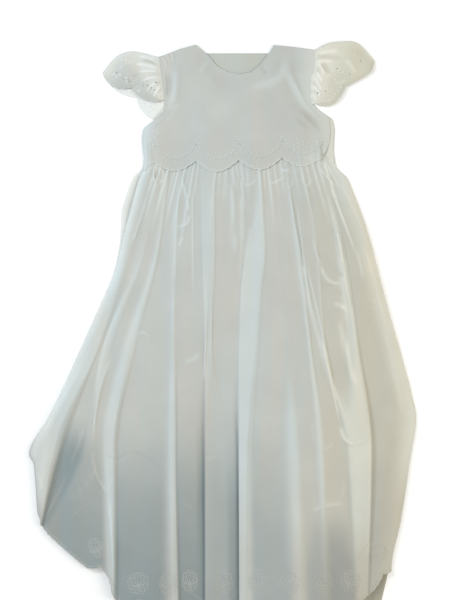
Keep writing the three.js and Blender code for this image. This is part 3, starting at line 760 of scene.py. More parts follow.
# Creases across or between the folds, by the photograph's pixels at their start, a bend and their end.
# Widths are in millimetres on the left and right of the way, and a height below 0 is a trough.
CREASES = table(
    "x1 y1 x2 y2 x3 y3 left right height",
    (182, 176, 187, 197, 190.6, 213, 2.5, 4, 1.3),
    (190.6, 213, 187, 224, 177, 227, 2.5, 4, 1.4),
    (183, 236, 181, 243, 178, 247, 3, 4, 0.8),
    (180, 184, 177, 222, 174.5, 300, 2.2, 3, 1.3),
    (174.5, 285, 174, 340, 175, 430, 2.2, 2.6, 1.1),
    (193, 186, 193, 240, 194, 300, 1.8, 2.4, 1.1),
    (207, 280, 206, 335, 203.5, 385, 2.2, 2.2, 1.8),
    (211.6, 286, 211, 335, 210, 390, 2, 2.2, 1.4),
    (233.4, 176, 234, 222, 237.5, 268, 1.8, 2.4, 1.2),
    (243, 188, 242, 235, 240, 288, 1.8, 2.4, 1),
    (251, 226, 250, 236, 246, 250, 4, 4, 0.9),
    (288, 180, 295, 226, 302, 262, 2.2, 3.2, 1.8),
    (302, 262, 308, 288, 313, 322, 2.2, 3.2, 1.5),
    (297, 200, 303, 250, 310, 300, 1.8, 2.4, 1.1),
    (306, 262, 320, 322, 336, 400, 2, 3, 1.5),
    (309, 340, 313, 385, 319, 430, 2.5, 4, 0.9),
    (320, 440, 323, 470, 325, 500, 3, 4, 0.6),
    (320, 333, 331, 382, 341, 428, 2, 3, 1.6),
    (341, 424, 346, 440, 358, 443, 3, 5, 1.8),
    (358, 443, 364, 441, 368, 428, 2.6, 3.5, 1.3),
    (353, 320, 361, 380, 368, 432, 3, 2.4, 1.3),
    (333, 302, 342, 306, 349, 312, 3, 6, 1.3),
    (338, 314, 347, 352, 358, 392, 4, 7, 1.1),
    (337, 232, 339, 240, 345, 268, 2.4, 3, 1.7),
    (345, 266, 347, 286, 353, 314, 2.4, 3, 1.5),
    (332, 236, 336, 229, 341, 233, 3.5, 3.5, -1.2),
    (313, 236, 317, 254, 323, 264, 2.4, 4, 1.3),
    (321, 262, 328, 279, 343, 283, 2.6, 4.5, 1.7),
    (322, 282, 328, 287, 336, 286, 3, 4, -1.3),
    (333, 268, 338, 272, 343, 277, 3, 3.5, -1.2),
    (323, 294, 333, 291, 343, 296, 4, 4, -0.9),
    (366, 302, 372, 306, 380, 304, 3, 3, -0.9),
    (362, 236, 376, 286, 387, 334, 2.4, 4, 1),
    (356, 250, 360, 262, 363, 280, 2.2, 3, 1),
    (320, 167, 327, 176, 336, 186, 2.4, 3, 1.5),
    (327, 178, 343, 218, 357, 257, 2.4, 3.2, 1.6),
    (340, 180, 354, 208, 369, 240, 2.2, 3.2, 1.3),
    (325, 157, 333, 174, 343, 192, 2.2, 2.6, 1.1),
    (183, 362, 192, 360, 201, 352, 4, 6, 0.8),
    (183, 502, 187, 506, 191, 510, 4, 4, 0.5),
    (207, 462, 213, 458, 220, 456, 4, 4, 0.6),
    (104, 453, 116, 459, 128, 452, 2.6, 2.6, -0.9),
    (128, 452, 146, 458, 168, 477, 2.6, 3.4, -0.6),
    (310, 514, 326, 507, 346, 505, 6, 2.4, 0.7),
    (316, 446, 325, 450, 334, 440, 4, 3, 0.5),
    (311, 420, 313, 434, 316, 446, 3, 4, 0.4),
    (340, 500, 343, 492, 344, 480, 3, 4, 0.3),
    (138, 336, 144, 333, 150, 340, 3, 3, 1),
    (113, 353, 98, 398, 93, 450, 4, 2.4, 1.8),
    (93, 450, 97, 474, 108, 494, 2.4, 4, 1.9),
    (107, 493, 112, 540, 114, 590, 5, 2.4, 1.3),
    (108, 456, 108, 480, 113, 520, 2, 2.6, 0.9),
    (281, 165, 286, 171, 291, 165, 2.4, 3, 1.4),
    (281, 174, 286, 169, 292, 173, 2.4, 3, 1.2),
    (268, 183, 277, 181, 286, 173, 2.4, 4, 1.3),
    (287, 178, 290, 187, 294, 178, 2.2, 2.6, 1.3),
    (302, 177, 307, 185, 313, 176, 2.2, 2.6, 1.4),
    (244, 183, 251, 184, 257, 177, 2.2, 3, 1.1),
    (155, 165, 154, 178, 159, 185, 2, 2.4, 1.6),
    (159, 185, 164, 176, 161, 166, 2, 2.4, 1.6),
    (158, 170, 158, 175, 159, 179, 1.6, 1.6, -1.2),
    (84, 428, 78, 447, 69, 471, 2.4, 4, 1),
    (69, 471, 57, 497, 43, 521, 2.4, 4, 0.9),
    (94, 470, 84, 488, 66, 502, 5, 5, 0.7),
    (56, 400, 48, 440, 40, 505, 8, 10, 0.9),
    (34, 468, 40, 478, 43, 492, 4, 4, 0.7),
    (138, 182, 131, 210, 123, 236, 2.2, 3, 1),
    (148, 196, 140, 222, 132, 246, 2.4, 4, 0.9),
    (382, 320, 394, 370, 404, 420, 8, 6, 1),
    (381, 545, 391, 549, 399, 541, 3, 4, 0.5),
    (339, 230, 343, 275, 352, 350, 5, 9, 1.3),
    (345, 325, 354, 378, 361, 432, 8, 8, 1.1),
    (300, 270, 316, 330, 336, 405, 7, 5, 1.0),
    (125, 245, 112, 300, 97, 345, 7, 9, 1.0),
)
CREASE_PARTS = 28


def crease_height(creases, x, y, fade=0.22):
    """Soft ridges and troughs, each along a bent line, with its own width on either side."""
    height = np.zeros(x.shape)
    share = np.linspace(0, 1, CREASE_PARTS)
    for crease in creases:
        path_x, path_y = bent_path(crease, share)
        reach = max(crease["left"], crease["right"])
        near = (
            (x > path_x.min() - reach)
            & (x < path_x.max() + reach)
            & (y > path_y.min() - reach)
            & (y < path_y.max() + reach)
        )
        if not near.any():
            continue
        start = np.stack([path_x[:-1], path_y[:-1]])[:, :, None]
        step = np.stack([np.diff(path_x), np.diff(path_y)])[:, :, None]
        away = np.stack([x[near], y[near]])[:, None, :] - start
        along = np.clip((away * step).sum(0) / (step * step).sum(0), 0, 1)
        rest = away - step * along
        distance = np.hypot(rest[0], rest[1])
        part = distance.argmin(0)
        point = np.arange(part.size)
        side = (step[0] * rest[1] - step[1] * rest[0])[part, point]
        width = np.where(side > 0, crease["left"], crease["right"])
        travelled = (part + along[part, point]) / (CREASE_PARTS - 1)
        ends_fade = smooth(np.minimum(travelled, 1 - travelled) / fade)
        height[near] += crease["height"] * ends_fade * swell(distance[part, point] / width)
    return height


# How the height goes from one line to the next: the shares of the way at which it starts and ends to change,
# first above the knee and then below it. The cloth is flat before and after.
SLOPES = table(
    "line start end low_start low_end",
    ("side_flap", 0.0, 0.7, 0.3, 0.75),
    ("side_trough", 0.4, 1.0, 0.6, 1.0),
    ("edge_a", 0.0, 1.0, 0.0, 1.0),
    ("crest_a", 0.0, 0.7, 0.0, 1.0),
    ("dip_a", 0.3, 1.0, 0.25, 1.0),
    ("crest_b", 0.0, 0.45, 0.05, 0.22),
    ("dip_b", 0.45, 1.0, 0.55, 1.0),
    ("crest_d", 0.0, 1.0, 0.0, 1.0),
    ("edge_d", 0.0, 0.4, 0.0, 0.25),
    ("dip_d", 0.35, 0.9, 0.35, 0.95),
    ("slit", 0.25, 0.8, 0.3, 0.95),
    ("lip_e", 0.0, 1.0, 0.0, 1.0),
    ("panel_e", 0.0, 0.35, 0.65, 1.0),
    ("dip_e", 0.6, 1.0, 0.5, 1.0),
    ("foot_f", 0.4, 1.0, 0.0, 1.0),
    ("lip_f", 0.3, 1.0, 0.0, 1.0),
    ("crest_f", 0.0, 0.5, 0.0, 0.45),
    ("dip_f", 0.5, 1.0, 0.4, 1.0),
    ("crest_g", 0.0, 0.6, 0.0, 0.7),
    ("dip_g", 0.45, 1.0, 0.5, 1.0),
    ("crest_h", 0.0, 0.35, 0.0, 0.5),
    ("dip_h", 0.5, 1.0, 0.5, 1.0),
    ("crest_k", 0.0, 0.35, 0.0, 0.4),
    ("dip_k", 0.5, 1.0, 0.0, 1.0),
    ("crest_i", 0.0, 1.0, 0.0, 1.0),
    ("edge_i", 0.0, 0.4, 0.0, 0.3),
    ("dip_i", 0.5, 1.0, 0.5, 1.0),
)
SLOPE_ROUNDNESS = 0.6
SLOPE_FROM_Y = -200
SLOPE_RUN = 140
# The sheet's columns: how many a fold gets, and how much closer together they stand on a steep slope.
# A slope that goes the whole way to the next line doesn't count as steep.
PARTS_A_FOLD = 12
STEEP_WEIGHT = 2.4
STEEP_MARGIN = 0.08
WHOLE_WAY = 0.99
WAIST_WEIGHT = 0.8
SPARE_WIDTH = 4
RIGHT_LINES = 4

# Painted shade on the lower skirt, deepest where the cloth lies low: by x, how far down it starts, its run
# and its depth
PAINTED_LOWER_SHADE = table(
    "x start run depth",
    (-262, 305, 110, 0.86),
    (-216, 318, 62, 0.97),
    (-192, 318, 80, 0.9),
    (-165, 305, 160, 0.88),
    (-45, 290, 150, 1.0),
    (-10, 305, 150, 0.9),
    (15, 305, 165, 0.8),
    (62, 325, 175, 0.78),
    (86, 400, 150, 0.85),
    (98, 438, 60, 1.0),
    (135, 438, 60, 1.0),
    (152, 410, 150, 0.9),
    (172, 345, 130, 0.45),
    (230, 335, 130, 0.5),
)
# Painted light of the front: painted highlight on crests, gathers and creases, painted shade in hollows and
# towards the hem, and a painted lit rim at the sides
TO_RIGHT_FROM = 60
TO_RIGHT_RUN = 80
HEM_TONE_FROM = 410
HEM_TONE_RUN = 130
HEM_PAINTED_SHADE = 0.14
RIGHT_HEM_PAINTED_SHADE = 0.4
RIGHT_PAINTED_HIGHLIGHT_TONE = 0.05
LOW_PAINTED_HIGHLIGHT_TONE = 0.21
LIT_HEIGHT = 13.0
DEEP_RANGE = 7.0
CREST_RISE = 2.4
CREST_SHARE = 0.75
NARROW_HEIGHT = 1.0
CREASE_TONE_SHARE = 0.6
GATHER_TONE_SHARE = 1.3
RIDGE_PAINTED_HIGHLIGHT = 0.2
RIM_WIDTH = 16
RIGHT_RIM_SHARE = 1.9
RIM_SHARE = 0.75
TOP_TUCK = 16
MEAN_HEIGHT = ((0, 110, 240, 600), (5.5, 8.5, 9.5, 9.5))
UPPER_RELIEF = 0.55


def slope_shares(y_share):
    """The start and end of each line's slope, for points from the upper skirt (0) to the lower (1)."""
    names = [None] + [fold["name"] for fold in FOLDS]
    rows = {row["line"]: row for row in SLOPES}
    plain = dict(start=0, end=1, low_start=0, low_end=1)
    ordered = [rows.get(name, plain) for name in names]
    start = lerp(column(ordered, "start")[:, None], column(ordered, "low_start")[:, None], y_share)
    end = lerp(column(ordered, "end")[:, None], column(ordered, "low_end")[:, None], y_share)
    return start, end


def fold_height(place, heights, y_share):
    """The height between the lines: each slope keeps to its own part of the way."""
    i = np.clip(place.astype(int), 0, LAST_LINE - 1)
    point = np.arange(place.size)
    start, end = slope_shares(y_share)
    t = np.clip((place - i - start[i, point]) / (end - start)[i, point], 0, 1)
    return lerp(heights[i, point], heights[i + 1, point], lerp(t, smooth(t), SLOPE_ROUNDNESS))


def skirt_front_points(across, down):
    """The front panel's points, and their tone, by their shares across and down."""
    place = place_between_lines(across)
    numbers = np.arange(LAST_LINE + 1)
    hem_x = gentle_curve(numbers, [line["hem"] for line in SKIRT_LINES], place)
    hem_y = edge_at(front_hem, hem_x)
    top = lerp(SKIRT_TOP, SKIRT_TOP_RIGHT, smooth((place - (LAST_LINE - RIGHT_LINES)) / RIGHT_LINES))
    to_knee = np.clip(down / FRONT_KNEE_SHARE, 0, 1)
    to_hem = np.clip((down - FRONT_KNEE_SHARE) / (1 - FRONT_KNEE_SHARE), 0, 1)
    y = lerp(top, KNEE_Y, to_knee) + (hem_y - KNEE_Y) * to_hem
    x = gentle_curve(numbers, [line["x"](y) for line in SKIRT_LINES], place)
    from_side = np.minimum(place, LAST_LINE - place)
    rounded = np.sqrt(np.clip(1 - (1 - np.clip(from_side, 0, 1)) ** 2, 0, 1))
    z_place = np.where(place < 1, rounded, np.where(place > LAST_LINE - 1, LAST_LINE - rounded, place))
    heights = np.array([line["z"](y) for line in SKIRT_LINES])
    below = smooth((SLOPE_FROM_Y - y) / SLOPE_RUN)
    z = fold_height(z_place, heights, below)
    inside = smooth(from_side)
    level = gentle_curve(*MEAN_HEIGHT, -y)
    high = smooth((z - level) / CREST_RISE)
    sunk = smooth((LIT_HEIGHT - z) / DEEP_RANGE)
    z = lerp(z, level + (z - level) * UPPER_RELIEF, inside * (1 - below))
    tucked = np.where(place > LAST_LINE - RIGHT_LINES, smooth((top - y) / TOP_TUCK), 1)
    z = lerp(FRONT_SIDE_HEIGHT, z, tucked)
    gathers = inside * tucked * gather_height(x, y)
    creases = inside * tucked * crease_height(CREASES, x, y)
    z = z + gathers + creases
    starts, runs, depths = (
        np.interp(x, column(PAINTED_LOWER_SHADE, "x"), column(PAINTED_LOWER_SHADE, name)) for name in ("start", "run", "depth")
    )
    # The tone: painted shade down the lower skirt and in low hollows, painted highlights on raised parts, and
    # a painted lit rim at the sides
    low = smooth((-y - starts) / runs) * depths
    raised = np.clip((GATHER_TONE_SHARE * gathers + CREASE_TONE_SHARE * creases) / NARROW_HEIGHT, -1, 1)
    to_right = smooth((x - TO_RIGHT_FROM) / TO_RIGHT_RUN)
    crest = lerp(PAINTED_HIGHLIGHT_TONE, RIGHT_PAINTED_HIGHLIGHT_TONE, to_right)
    upper = lerp(FLAT_TONE, crest, np.maximum(high * CREST_SHARE, raised))
    hem_painted_shade = lerp(HEM_PAINTED_SHADE, RIGHT_HEM_PAINTED_SHADE, to_right) * smooth((-y - HEM_TONE_FROM) / HEM_TONE_RUN)
    lower = lerp(lerp(LOW_PAINTED_HIGHLIGHT_TONE, PAINTED_SHADE_TONE, sunk), PAINTED_SHADE_TONE, hem_painted_shade)
    lower = lower - RIDGE_PAINTED_HIGHLIGHT * raised
    tone = lerp(upper, lower, low)
    from_left = (x - side_curve(SKIRT_EDGES, "left", y)) / RIM_WIDTH
    from_right = (side_curve(SKIRT_EDGES, "right", y) - x) / (RIM_WIDTH * RIGHT_RIM_SHARE)
    tone = lerp(tone, PAINTED_RIM_LIGHT_TONE, RIM_SHARE * (1 - smooth(np.minimum(from_left, from_right))) * (1 - low))
    return x, y, z, tone


# Lit and shaded copies of one white: painted lit rim, painted highlight, flat and painted shade, and a warmer
# set for the painted warm light
COTTON = cotton(
    "cotton",
    [(0.80, 0.79, 0.75), (0.615, 0.66, 0.655), (0.535, 0.545, 0.52), (0.267, 0.312, 0.318)],
    warm_lit=[(0.80, 0.76, 0.65), (0.645, 0.635, 0.56), (0.545, 0.525, 0.45), (0.36, 0.345, 0.315)],
)
skirt_front_mesh = sheet_mesh("skirt_front_cloth", FRONT_COLUMNS, FRONT_ROWS, skirt_front_points)
skirt_front = cloth_piece(
    "skirt_front_cloth",
    skirt_front_mesh,
    COTTON,
    "skirt_front",
    SKIRT_THICKNESS,
    rim_only=True,
)

# The hem's sewing: a stitched edge, an oval medallion above most scallops and thin lines between them
MEDALLIONS = table(
    "x y width height turn",
    (-185, -497, 18, 27, 30),
    (-131, -543, 27, 28, 8),
    (-92, -543, 22, 30, 0),
    (-64, -540, 20, 28, 0),
    (-20, -541, 24, 30, 0),
    (24, -541, 24, 30, 0),
    (65, -542, 24, 30, 0),
    (109, -542, 24, 30, -4),
    (145, -540, 24, 28, -22),
    (181, -505, 20, 30, -30),
)
HEM_LINES = table(
    "x1 y1 x2 y2 x3 y3",
    (70, 520, 83, 507, 107, 495),
    (100, 565, 104, 572, 111, 574),
    (299, 578, 309, 590, 321, 597),
    (303, 577, 312, 587, 324, 592),
    (190, 586, 194, 595, 203, 600),
    (245, 583, 262, 577, 280, 583),
    (207, 577, 216, 570, 228, 574),
    (356, 562, 364, 548, 376, 538),
)
HEM_STITCH, HEM_LINE = 0.6, 3.2
HEM_CORD = 0.75
HEM_THREAD_TONE = 0.42
LINE_CORD = 0.26
OVAL_CORD = 0.36
OVALS = ((0.5, 11), (0.4, 7), (0.28, 9))
OVAL_STEPS = 60
LOOP_DEPTH = 0.07
KNOTS = 13
KNOTS_SHARE = 0.45
KNOT_RADIUS = 0.7
STEM = (-0.36, -0.28, -0.2)
SPRAY_TURNS = (-58, -30, 2, 27, 61)
SPRAY_LENGTH = 0.36
SPRAY_RADIUS = 0.62


def medallion(row):
    """An oval of small loops of thread, with knots inside it and a spray of leaves."""
    turn = math.radians(row["turn"])

    def turned(x, y):
        return (
            row["x"] + x * math.cos(turn) - y * math.sin(turn),
            row["y"] + x * math.sin(turn) + y * math.cos(turn),
        )

    def around(angle, share):
        return turned(row["width"] * share * math.cos(angle), row["height"] * share * math.sin(angle))

    angles = np.linspace(0, 2 * math.pi, OVAL_STEPS + 1)
    ovals = [
        [
            (*around(angle, share + LOOP_DEPTH / 2 * math.cos(loops * angle + row["x"])), OVAL_CORD)
            for angle in angles
        ]
        for share, loops in OVALS
    ]
    stem = [(*turned(0, row["height"] * y), OVAL_CORD) for y in STEM]
    knots = [dot(*around(2 * math.pi * k / KNOTS + row["x"], KNOTS_SHARE), KNOT_RADIUS) for k in range(KNOTS)]
    foot = turned(0, STEM[-1] * row["height"])
    length = SPRAY_LENGTH * row["height"]
    spray = [leaf(*foot, 90 + side + row["turn"], length, SPRAY_RADIUS) for side in SPRAY_TURNS]
    return [*ovals, stem, *knots, *spray]


skirt_tree = tree_of(skirt_front_mesh)
hem_sewing = sewing(
    "skirt_hem_sewing",
    [beside(front_hem, HEM_STITCH, HEM_CORD), beside(front_hem, HEM_LINE, FINE_CORD)]
    + [path for row in MEDALLIONS for path in medallion(row)]
    + [bent_line(row, LINE_CORD) for row in HEM_LINES],
    skirt_tree,
    COTTON,
    "cotton",
    tone=HEM_THREAD_TONE,
)

# Bodice back: one plain piece of cotton that lies flat on the surface. Its inside shows in the neck opening.
BODICE_SIDES = table(
    "y left right back_right",
    (158, -105, 99.5, 99.5),
    (143, -105, 99.5, 99.5),
    (127, -103.5, 99, 99),
    (114, -101.5, 94.5, 94.5),
    (88, -98.5, 94, 94),
    (77, -97.5, 101, 101),
    (69, -103, 111, 111),
    (61, -110.5, 119, 122),
    (47, -125.5, 120, 125),
    (35, -127, 119.5, 124.5),
    (21, -125.5, 115, 124),
    (8, -124, 108.5, 125),
    (-8, -123.5, 108.5, 125),
)
BACK_NECK = table(
    "x y",
    (-105, 143),
    (-96, 145.5),
    (-77, 153),
    (-56, 158),
    (-47, 147.5),
    (40, 147.5),
    (45.5, 157.5),
    (73, 155),
    (99.5, 151.5),
)
BODICE_BACK_COLUMNS, BODICE_BACK_ROWS = 120, 90
BACK_THICKNESS = 0.6
BACK_PANEL_END = 4.0
SEAM_OVERLAP = 0.8
SEAM_RUN = 8
# The strip that shows beside the front's right edge is lit as a rim
STRIP_FROM = 0.9
STRIP_RUN = 0.05
STRIP_TONE_SHARE = 0.75


def bodice_back_points(across, down):
    """The points of the bodice back, and their tone, by their shares across and down."""
    top_x = lerp(BACK_NECK[0]["x"], BACK_NECK[-1]["x"], across)
    top_y = np.interp(top_x, column(BACK_NECK, "x"), column(BACK_NECK, "y"))
    y = lerp(top_y, BACK_PANEL_END, down)
    left = side_curve(BODICE_SIDES, "left", y)
    right = side_curve(BODICE_SIDES, "back_right", y)
    top_left = side_curve(BODICE_SIDES, "left", top_y)
    top_share = (top_x - top_left) / (side_curve(BODICE_SIDES, "back_right", top_y) - top_left)
    share = lerp(top_share, across, down)
    z = BACK_LAYER + SEAM_OVERLAP * smooth((BACK_SEAM + SEAM_RUN - y) / SEAM_RUN)
    strip = STRIP_TONE_SHARE * smooth((share - STRIP_FROM) / STRIP_RUN)
    return lerp(left, right, share), y, z, lerp(FLAT_TONE, PAINTED_RIM_LIGHT_TONE, strip)


bodice_back = cloth_piece(
    "bodice_back_cloth",
    sheet_mesh("bodice_back_cloth", BODICE_BACK_COLUMNS, BODICE_BACK_ROWS, bodice_back_points),
    COTTON_BACK,
    "bodice_back",
    BACK_THICKNESS,
)

# Bodice front: one plain piece with a scoop neck, sewn to the back at the sides and shoulders.
# Its lower edge is free: a stiff scalloped border over the skirt's gathers, edged in close buttonhole stitch.
BORDER = table(
    "x y bulge",
    (-123.5, -6, 0),
    (-110, 6, -2.5),
    (-57, 8, 12),
    (-1, 9, 14.5),
    (55.5, 12.5, 14),
    (108.5, 12, 11),
)
SHOULDERS_AND_NECK = table(
    "x y",
    (-105, 143),
    (-96, 145.5),
    (-77, 153),
    (-56, 158.5),
    (-43, 147),
    (-28.5, 130),
    (-14, 122),
    (1, 119.5),
    (15.5, 122),
    (27.5, 131),
    (39, 147),
    (45.5, 158),
    (73, 155.5),
    (99.5, 152),
)
BODICE_COLUMNS, BODICE_ROWS = 210, 170
BODICE_THICKNESS = 0.5
NECK_LEFT = -56
NECK_RIGHT = 45.5
FRONT_EDGE_HEIGHT = 1.65
CHEST_HEIGHT = 8.2
BORDER_HEIGHT = 7.3
BODICE_CREASES = table(
    "x1 y1 x2 y2 x3 y3 left right height",
    (175, 62, 174, 92, 163, 109, 9, 6, 2.6),
    (166, 66, 168, 86, 164, 101, 4, 5, -1.6),
    (284, 48, 279, 77, 238, 86, 12, 9, 1.8),
    (286, 60, 298, 90, 324, 121, 8, 9, 2.2),
    (290, 68, 303, 98, 318, 114, 3, 4, 0.9),
    (298, 106, 316, 122, 331, 141, 7, 8, -2.0),
    (309, 112, 326, 124, 331, 137, 4, 4, 1.6),
    (261, 63, 264, 69, 267, 75, 3.5, 4, -1.2),
    (296, 116, 304, 124, 312, 132, 6, 7, -1.3),
    (300, 131, 306, 127, 314, 136, 5, 5, 0.9),
    (149, 134, 154, 136, 159, 143, 3.5, 4, 1.2),
    (143, 132, 143, 146, 145, 160, 5, 4, 1.2),
    (165, 50, 167, 54, 170, 60, 2.4, 2.8, 1.1),
    (161, 55, 165, 60, 167, 68, 2.4, 2.8, 1.1),
    (172, 52, 173, 56, 175, 61, 2.4, 2.8, 0.8),
    (210, 58, 205, 66, 199, 72, 5, 6, 0.9),
    (230, 96, 222, 108, 205, 118, 20, 24, 0.5),
    (188, 118, 200, 126, 222, 129, 16, 20, 0.4),
    (306, 56, 310, 66, 311, 80, 3.5, 3.5, 0.9),
)
RIGHT_SLOPE_SHARE = 0.22
LEFT_SLOPE_SHARE = 0.1
OVER_TOP_SLOPE = 0.22
NECK_HEIGHT = 2.7
NECK_RUN = 30
SHOULDER_TOP = 160
SHOULDER_RUN = 70
SHOULDER_HEIGHT = 3.2
OVER_SKIRT_RUN = 12
OVER_SKIRT_RISE = 1.5
BODICE_CREASE_FADE = 0.35
CREASE_START = 3
# How much the soft folds' tone takes painted highlight and shade, and the painted lit rim along the side
# edges
BODICE_CREASE_TONE = 0.55
FULL_CREASE = 1.6
RIGHT_EDGE_TONE = 0.5
RIGHT_EDGE_SHARE = 0.16
LEFT_EDGE_TONE = 0.55
LEFT_EDGE_SHARE = 0.07
LEFT_EDGE_TOP = 70
LEFT_EDGE_RUN = 20


def bodice_relief(share, x, y):
    """The height of the bodice front, and how far its soft folds lift it or sink it."""
    from_side = smooth(share / LEFT_SLOPE_SHARE) * smooth((1 - share) / RIGHT_SLOPE_SHARE)
    over_skirt = smooth((SKIRT_TOP + OVER_SKIRT_RUN - y) / OVER_SKIRT_RUN)
    edge = lerp(FRONT_EDGE_HEIGHT, FRONT_EDGE_HEIGHT + OVER_SKIRT_RISE, over_skirt)
    below_shoulder = smooth((SHOULDER_TOP - y) / SHOULDER_RUN)
    crown = lerp(SHOULDER_HEIGHT, lerp(CHEST_HEIGHT, BORDER_HEIGHT, over_skirt), below_shoulder)
    below_neck = np.interp(x, column(SHOULDERS_AND_NECK, "x"), column(SHOULDERS_AND_NECK, "y")) - y
    crown = lerp(np.minimum(crown, NECK_HEIGHT), crown, smooth(below_neck / NECK_RUN))
    soft = crease_height(BODICE_CREASES, x, y, BODICE_CREASE_FADE) * smooth(from_side * CREASE_START)
    return lerp(edge, crown, from_side) + soft, soft


BORDER_ROUNDNESS = 1.0
BORDER_CLEARANCE = 0.5
BORDER_REACH = 24
FEELERS = (-1.5, 0, 1.5)
border_edge = scalloped_edge(BORDER, roundness=BORDER_ROUNDNESS)


def bodice_front_points(across, down):
    """The points of the bodice front, and their tone, by their shares across and down."""
    number = across * (len(border_edge) - 1)
    numbers = np.arange(len(border_edge))
    border_x = np.interp(number, numbers, border_edge[:, 0])
    border_y = np.interp(number, numbers, border_edge[:, 1])
    top_x = gentle_curve(
        [0, 2 * SCALLOP_STEPS, 4 * SCALLOP_STEPS, len(border_edge) - 1],
        [BODICE_SIDES[1]["left"], NECK_LEFT, NECK_RIGHT, BODICE_SIDES[1]["right"]],
        number,
    )
    top_y = np.interp(top_x, column(SHOULDERS_AND_NECK, "x"), column(SHOULDERS_AND_NECK, "y"))

    def share_at(x, y):
        left = side_curve(BODICE_SIDES, "left", y)
        return (x - left) / (side_curve(BODICE_SIDES, "right", y) - left)

    y = lerp(top_y, border_y, down)
    share = lerp(share_at(top_x, top_y), share_at(border_x, border_y), down)
    x = lerp(side_curve(BODICE_SIDES, "left", y), side_curve(BODICE_SIDES, "right", y), share)
    z, soft = bodice_relief(share, x, y)
    for i in np.flatnonzero(y < SKIRT_TOP + BORDER_REACH):
        under = max(height_below(skirt_tree, x[i] + side, min(y[i], SKIRT_TOP - 1)) for side in FEELERS)
        z[i] = max(z[i], under + BORDER_CLEARANCE - OVER_TOP_SLOPE * max(0, y[i] - SKIRT_TOP))
    # Painted highlight on the soft folds' ridges, painted shade in their troughs, and a painted lit rim at
    # the sides
    tone = lerp(FLAT_TONE, PAINTED_HIGHLIGHT_TONE, np.clip(soft / FULL_CREASE, -1, 1) * BODICE_CREASE_TONE)
    right_edge = RIGHT_EDGE_TONE * (1 - smooth((1 - share) / RIGHT_EDGE_SHARE))
    left_edge = LEFT_EDGE_TONE * (1 - smooth(share / LEFT_EDGE_SHARE))
    left_edge = left_edge * smooth((LEFT_EDGE_TOP - y) / LEFT_EDGE_RUN)
    return x, y, z, lerp(tone, PAINTED_RIM_LIGHT_TONE, np.maximum(right_edge, left_edge))


bodice_front_mesh = sheet_mesh("bodice_front_cloth", BODICE_COLUMNS, BODICE_ROWS, bodice_front_points)
bodice_front = cloth_piece(
    "bodice_front_cloth",
    bodice_front_mesh,
    COTTON,
    "bodice_front",
    BODICE_THICKNESS,
    rim_only=True,
)

# The border's sewing: a stitched edge, swags of small leaves along the scallops and a sprig over each cusp
BORDER_STITCH, BORDER_LINE = 0.15, 2.8
EDGE_CORD = 0.85
BORDER_LINE_CORD = FINE_CORD * 0.6
SWAG_RISE = 15.5
SWAG_STEP = 3.7
SWAG_FROM = 0.09
SWAG_TO = 0.91
SWAG_PAIRS = table("length beside_y", (2.0, -2.6), (2.8, 2.9))
BESIDE_X = 1.6
BESIDE_LENGTH = 1.6
PIN_HOLE = (1.5, -1.4, 0.65)
WREATH_PLACE = (84, 24)
WREATH_STEP = 30
WREATHS = table("half_width half_height length", (13, 7.5, 2.2), (6, 3.4, 1.6))
SPRIG_RISE = 19.5
STROKE_TURN = 50
SPRIG = table(
    "x y length",
    (-1.5, 6.2, 2.6),
    (1.6, 5.8, 2.2),
    (-2.0, 2.2, 3.4),
    (-5.6, 1.8, 1.8),
    (5.4, 2.0, 1.8),
    (-5.2, -1.4, 1.8),
    (-2.4, -2.2, 1.6),
    (1.8, -2.6, 1.8),
    (5.6, -3.0, 2.6),
    (-5.0, -5.2, 1.8),
    (4.0, -6.0, 1.8),
)
SPRIG_HOLES = table("x y radius", (1.0, 0.3, 1.0), (-4.2, 4.0, 0.6), (3.6, -0.6, 0.6), (-1.2, -4.6, 0.6))
STROKE_RADIUS = 1.1
STROKE_LENGTHENED = 1.25
TUCK_CORD = 0.9
EDGE_TUCK = table(
    "x1 y1 x2 y2 x3 y3", (155.5, 163, 154, 176, 158.5, 185), (158.5, 185, 162.5, 176, 161, 167.5)
)


def stroke(x, y, length):
    """One short satin stroke, centred on its place."""
    way = math.radians(STROKE_TURN)
    length = length * STROKE_LENGTHENED
    start = (x - math.cos(way) * length / 2, y - math.sin(way) * length / 2)
    return leaf(*start, STROKE_TURN, length, STROKE_RADIUS)


def swag(start, end):
    """Pairs of strokes that follow a scallop some way above its edge."""
    length = math.hypot(end["x"] - start["x"], end["y"] - start["y"])
    steps = round(length * (SWAG_TO - SWAG_FROM) / SWAG_STEP)
    places = []
    for k in range(steps + 1):
        t = lerp(SWAG_FROM, SWAG_TO, k / steps)
        x = lerp(start["x"], end["x"], t)
        y = lerp(start["y"], end["y"], t) + SWAG_RISE - end["bulge"] * math.sin(math.pi * t)
        pair = SWAG_PAIRS[k % 2]
        places.append((x, y, pair["length"]))
        places.append((x + BESIDE_X, y + pair["beside_y"], BESIDE_LENGTH))
    return places


border_strokes, border_hole_shades = [], []
for start, end in zip(BORDER[1:], BORDER[2:]):
    places = swag(start, end)
    border_strokes += [stroke(*place) for place in places]
    border_hole_shades += [dot(x + PIN_HOLE[0], y + PIN_HOLE[1], PIN_HOLE[2]) for x, y, _ in places[::2]]
for row in BORDER[1:]:
    top = row["y"] + SPRIG_RISE
    border_strokes += [stroke(row["x"] + part["x"], top + part["y"], part["length"]) for part in SPRIG]
    border_hole_shades += [dot(row["x"] + part["x"], top + part["y"], part["radius"]) for part in SPRIG_HOLES]
for turn in range(0, 360, WREATH_STEP):
    wide, high = math.cos(math.radians(turn)), math.sin(math.radians(turn))
    for wreath in WREATHS:
        x, y = WREATH_PLACE[0] + wreath["half_width"] * wide, WREATH_PLACE[1] + wreath["half_height"] * high
        border_strokes.append(stroke(x, y, wreath["length"]))
border_edges = [
    beside(border_edge, BORDER_STITCH, EDGE_CORD),
    beside(border_edge, BORDER_LINE, BORDER_LINE_CORD),
]
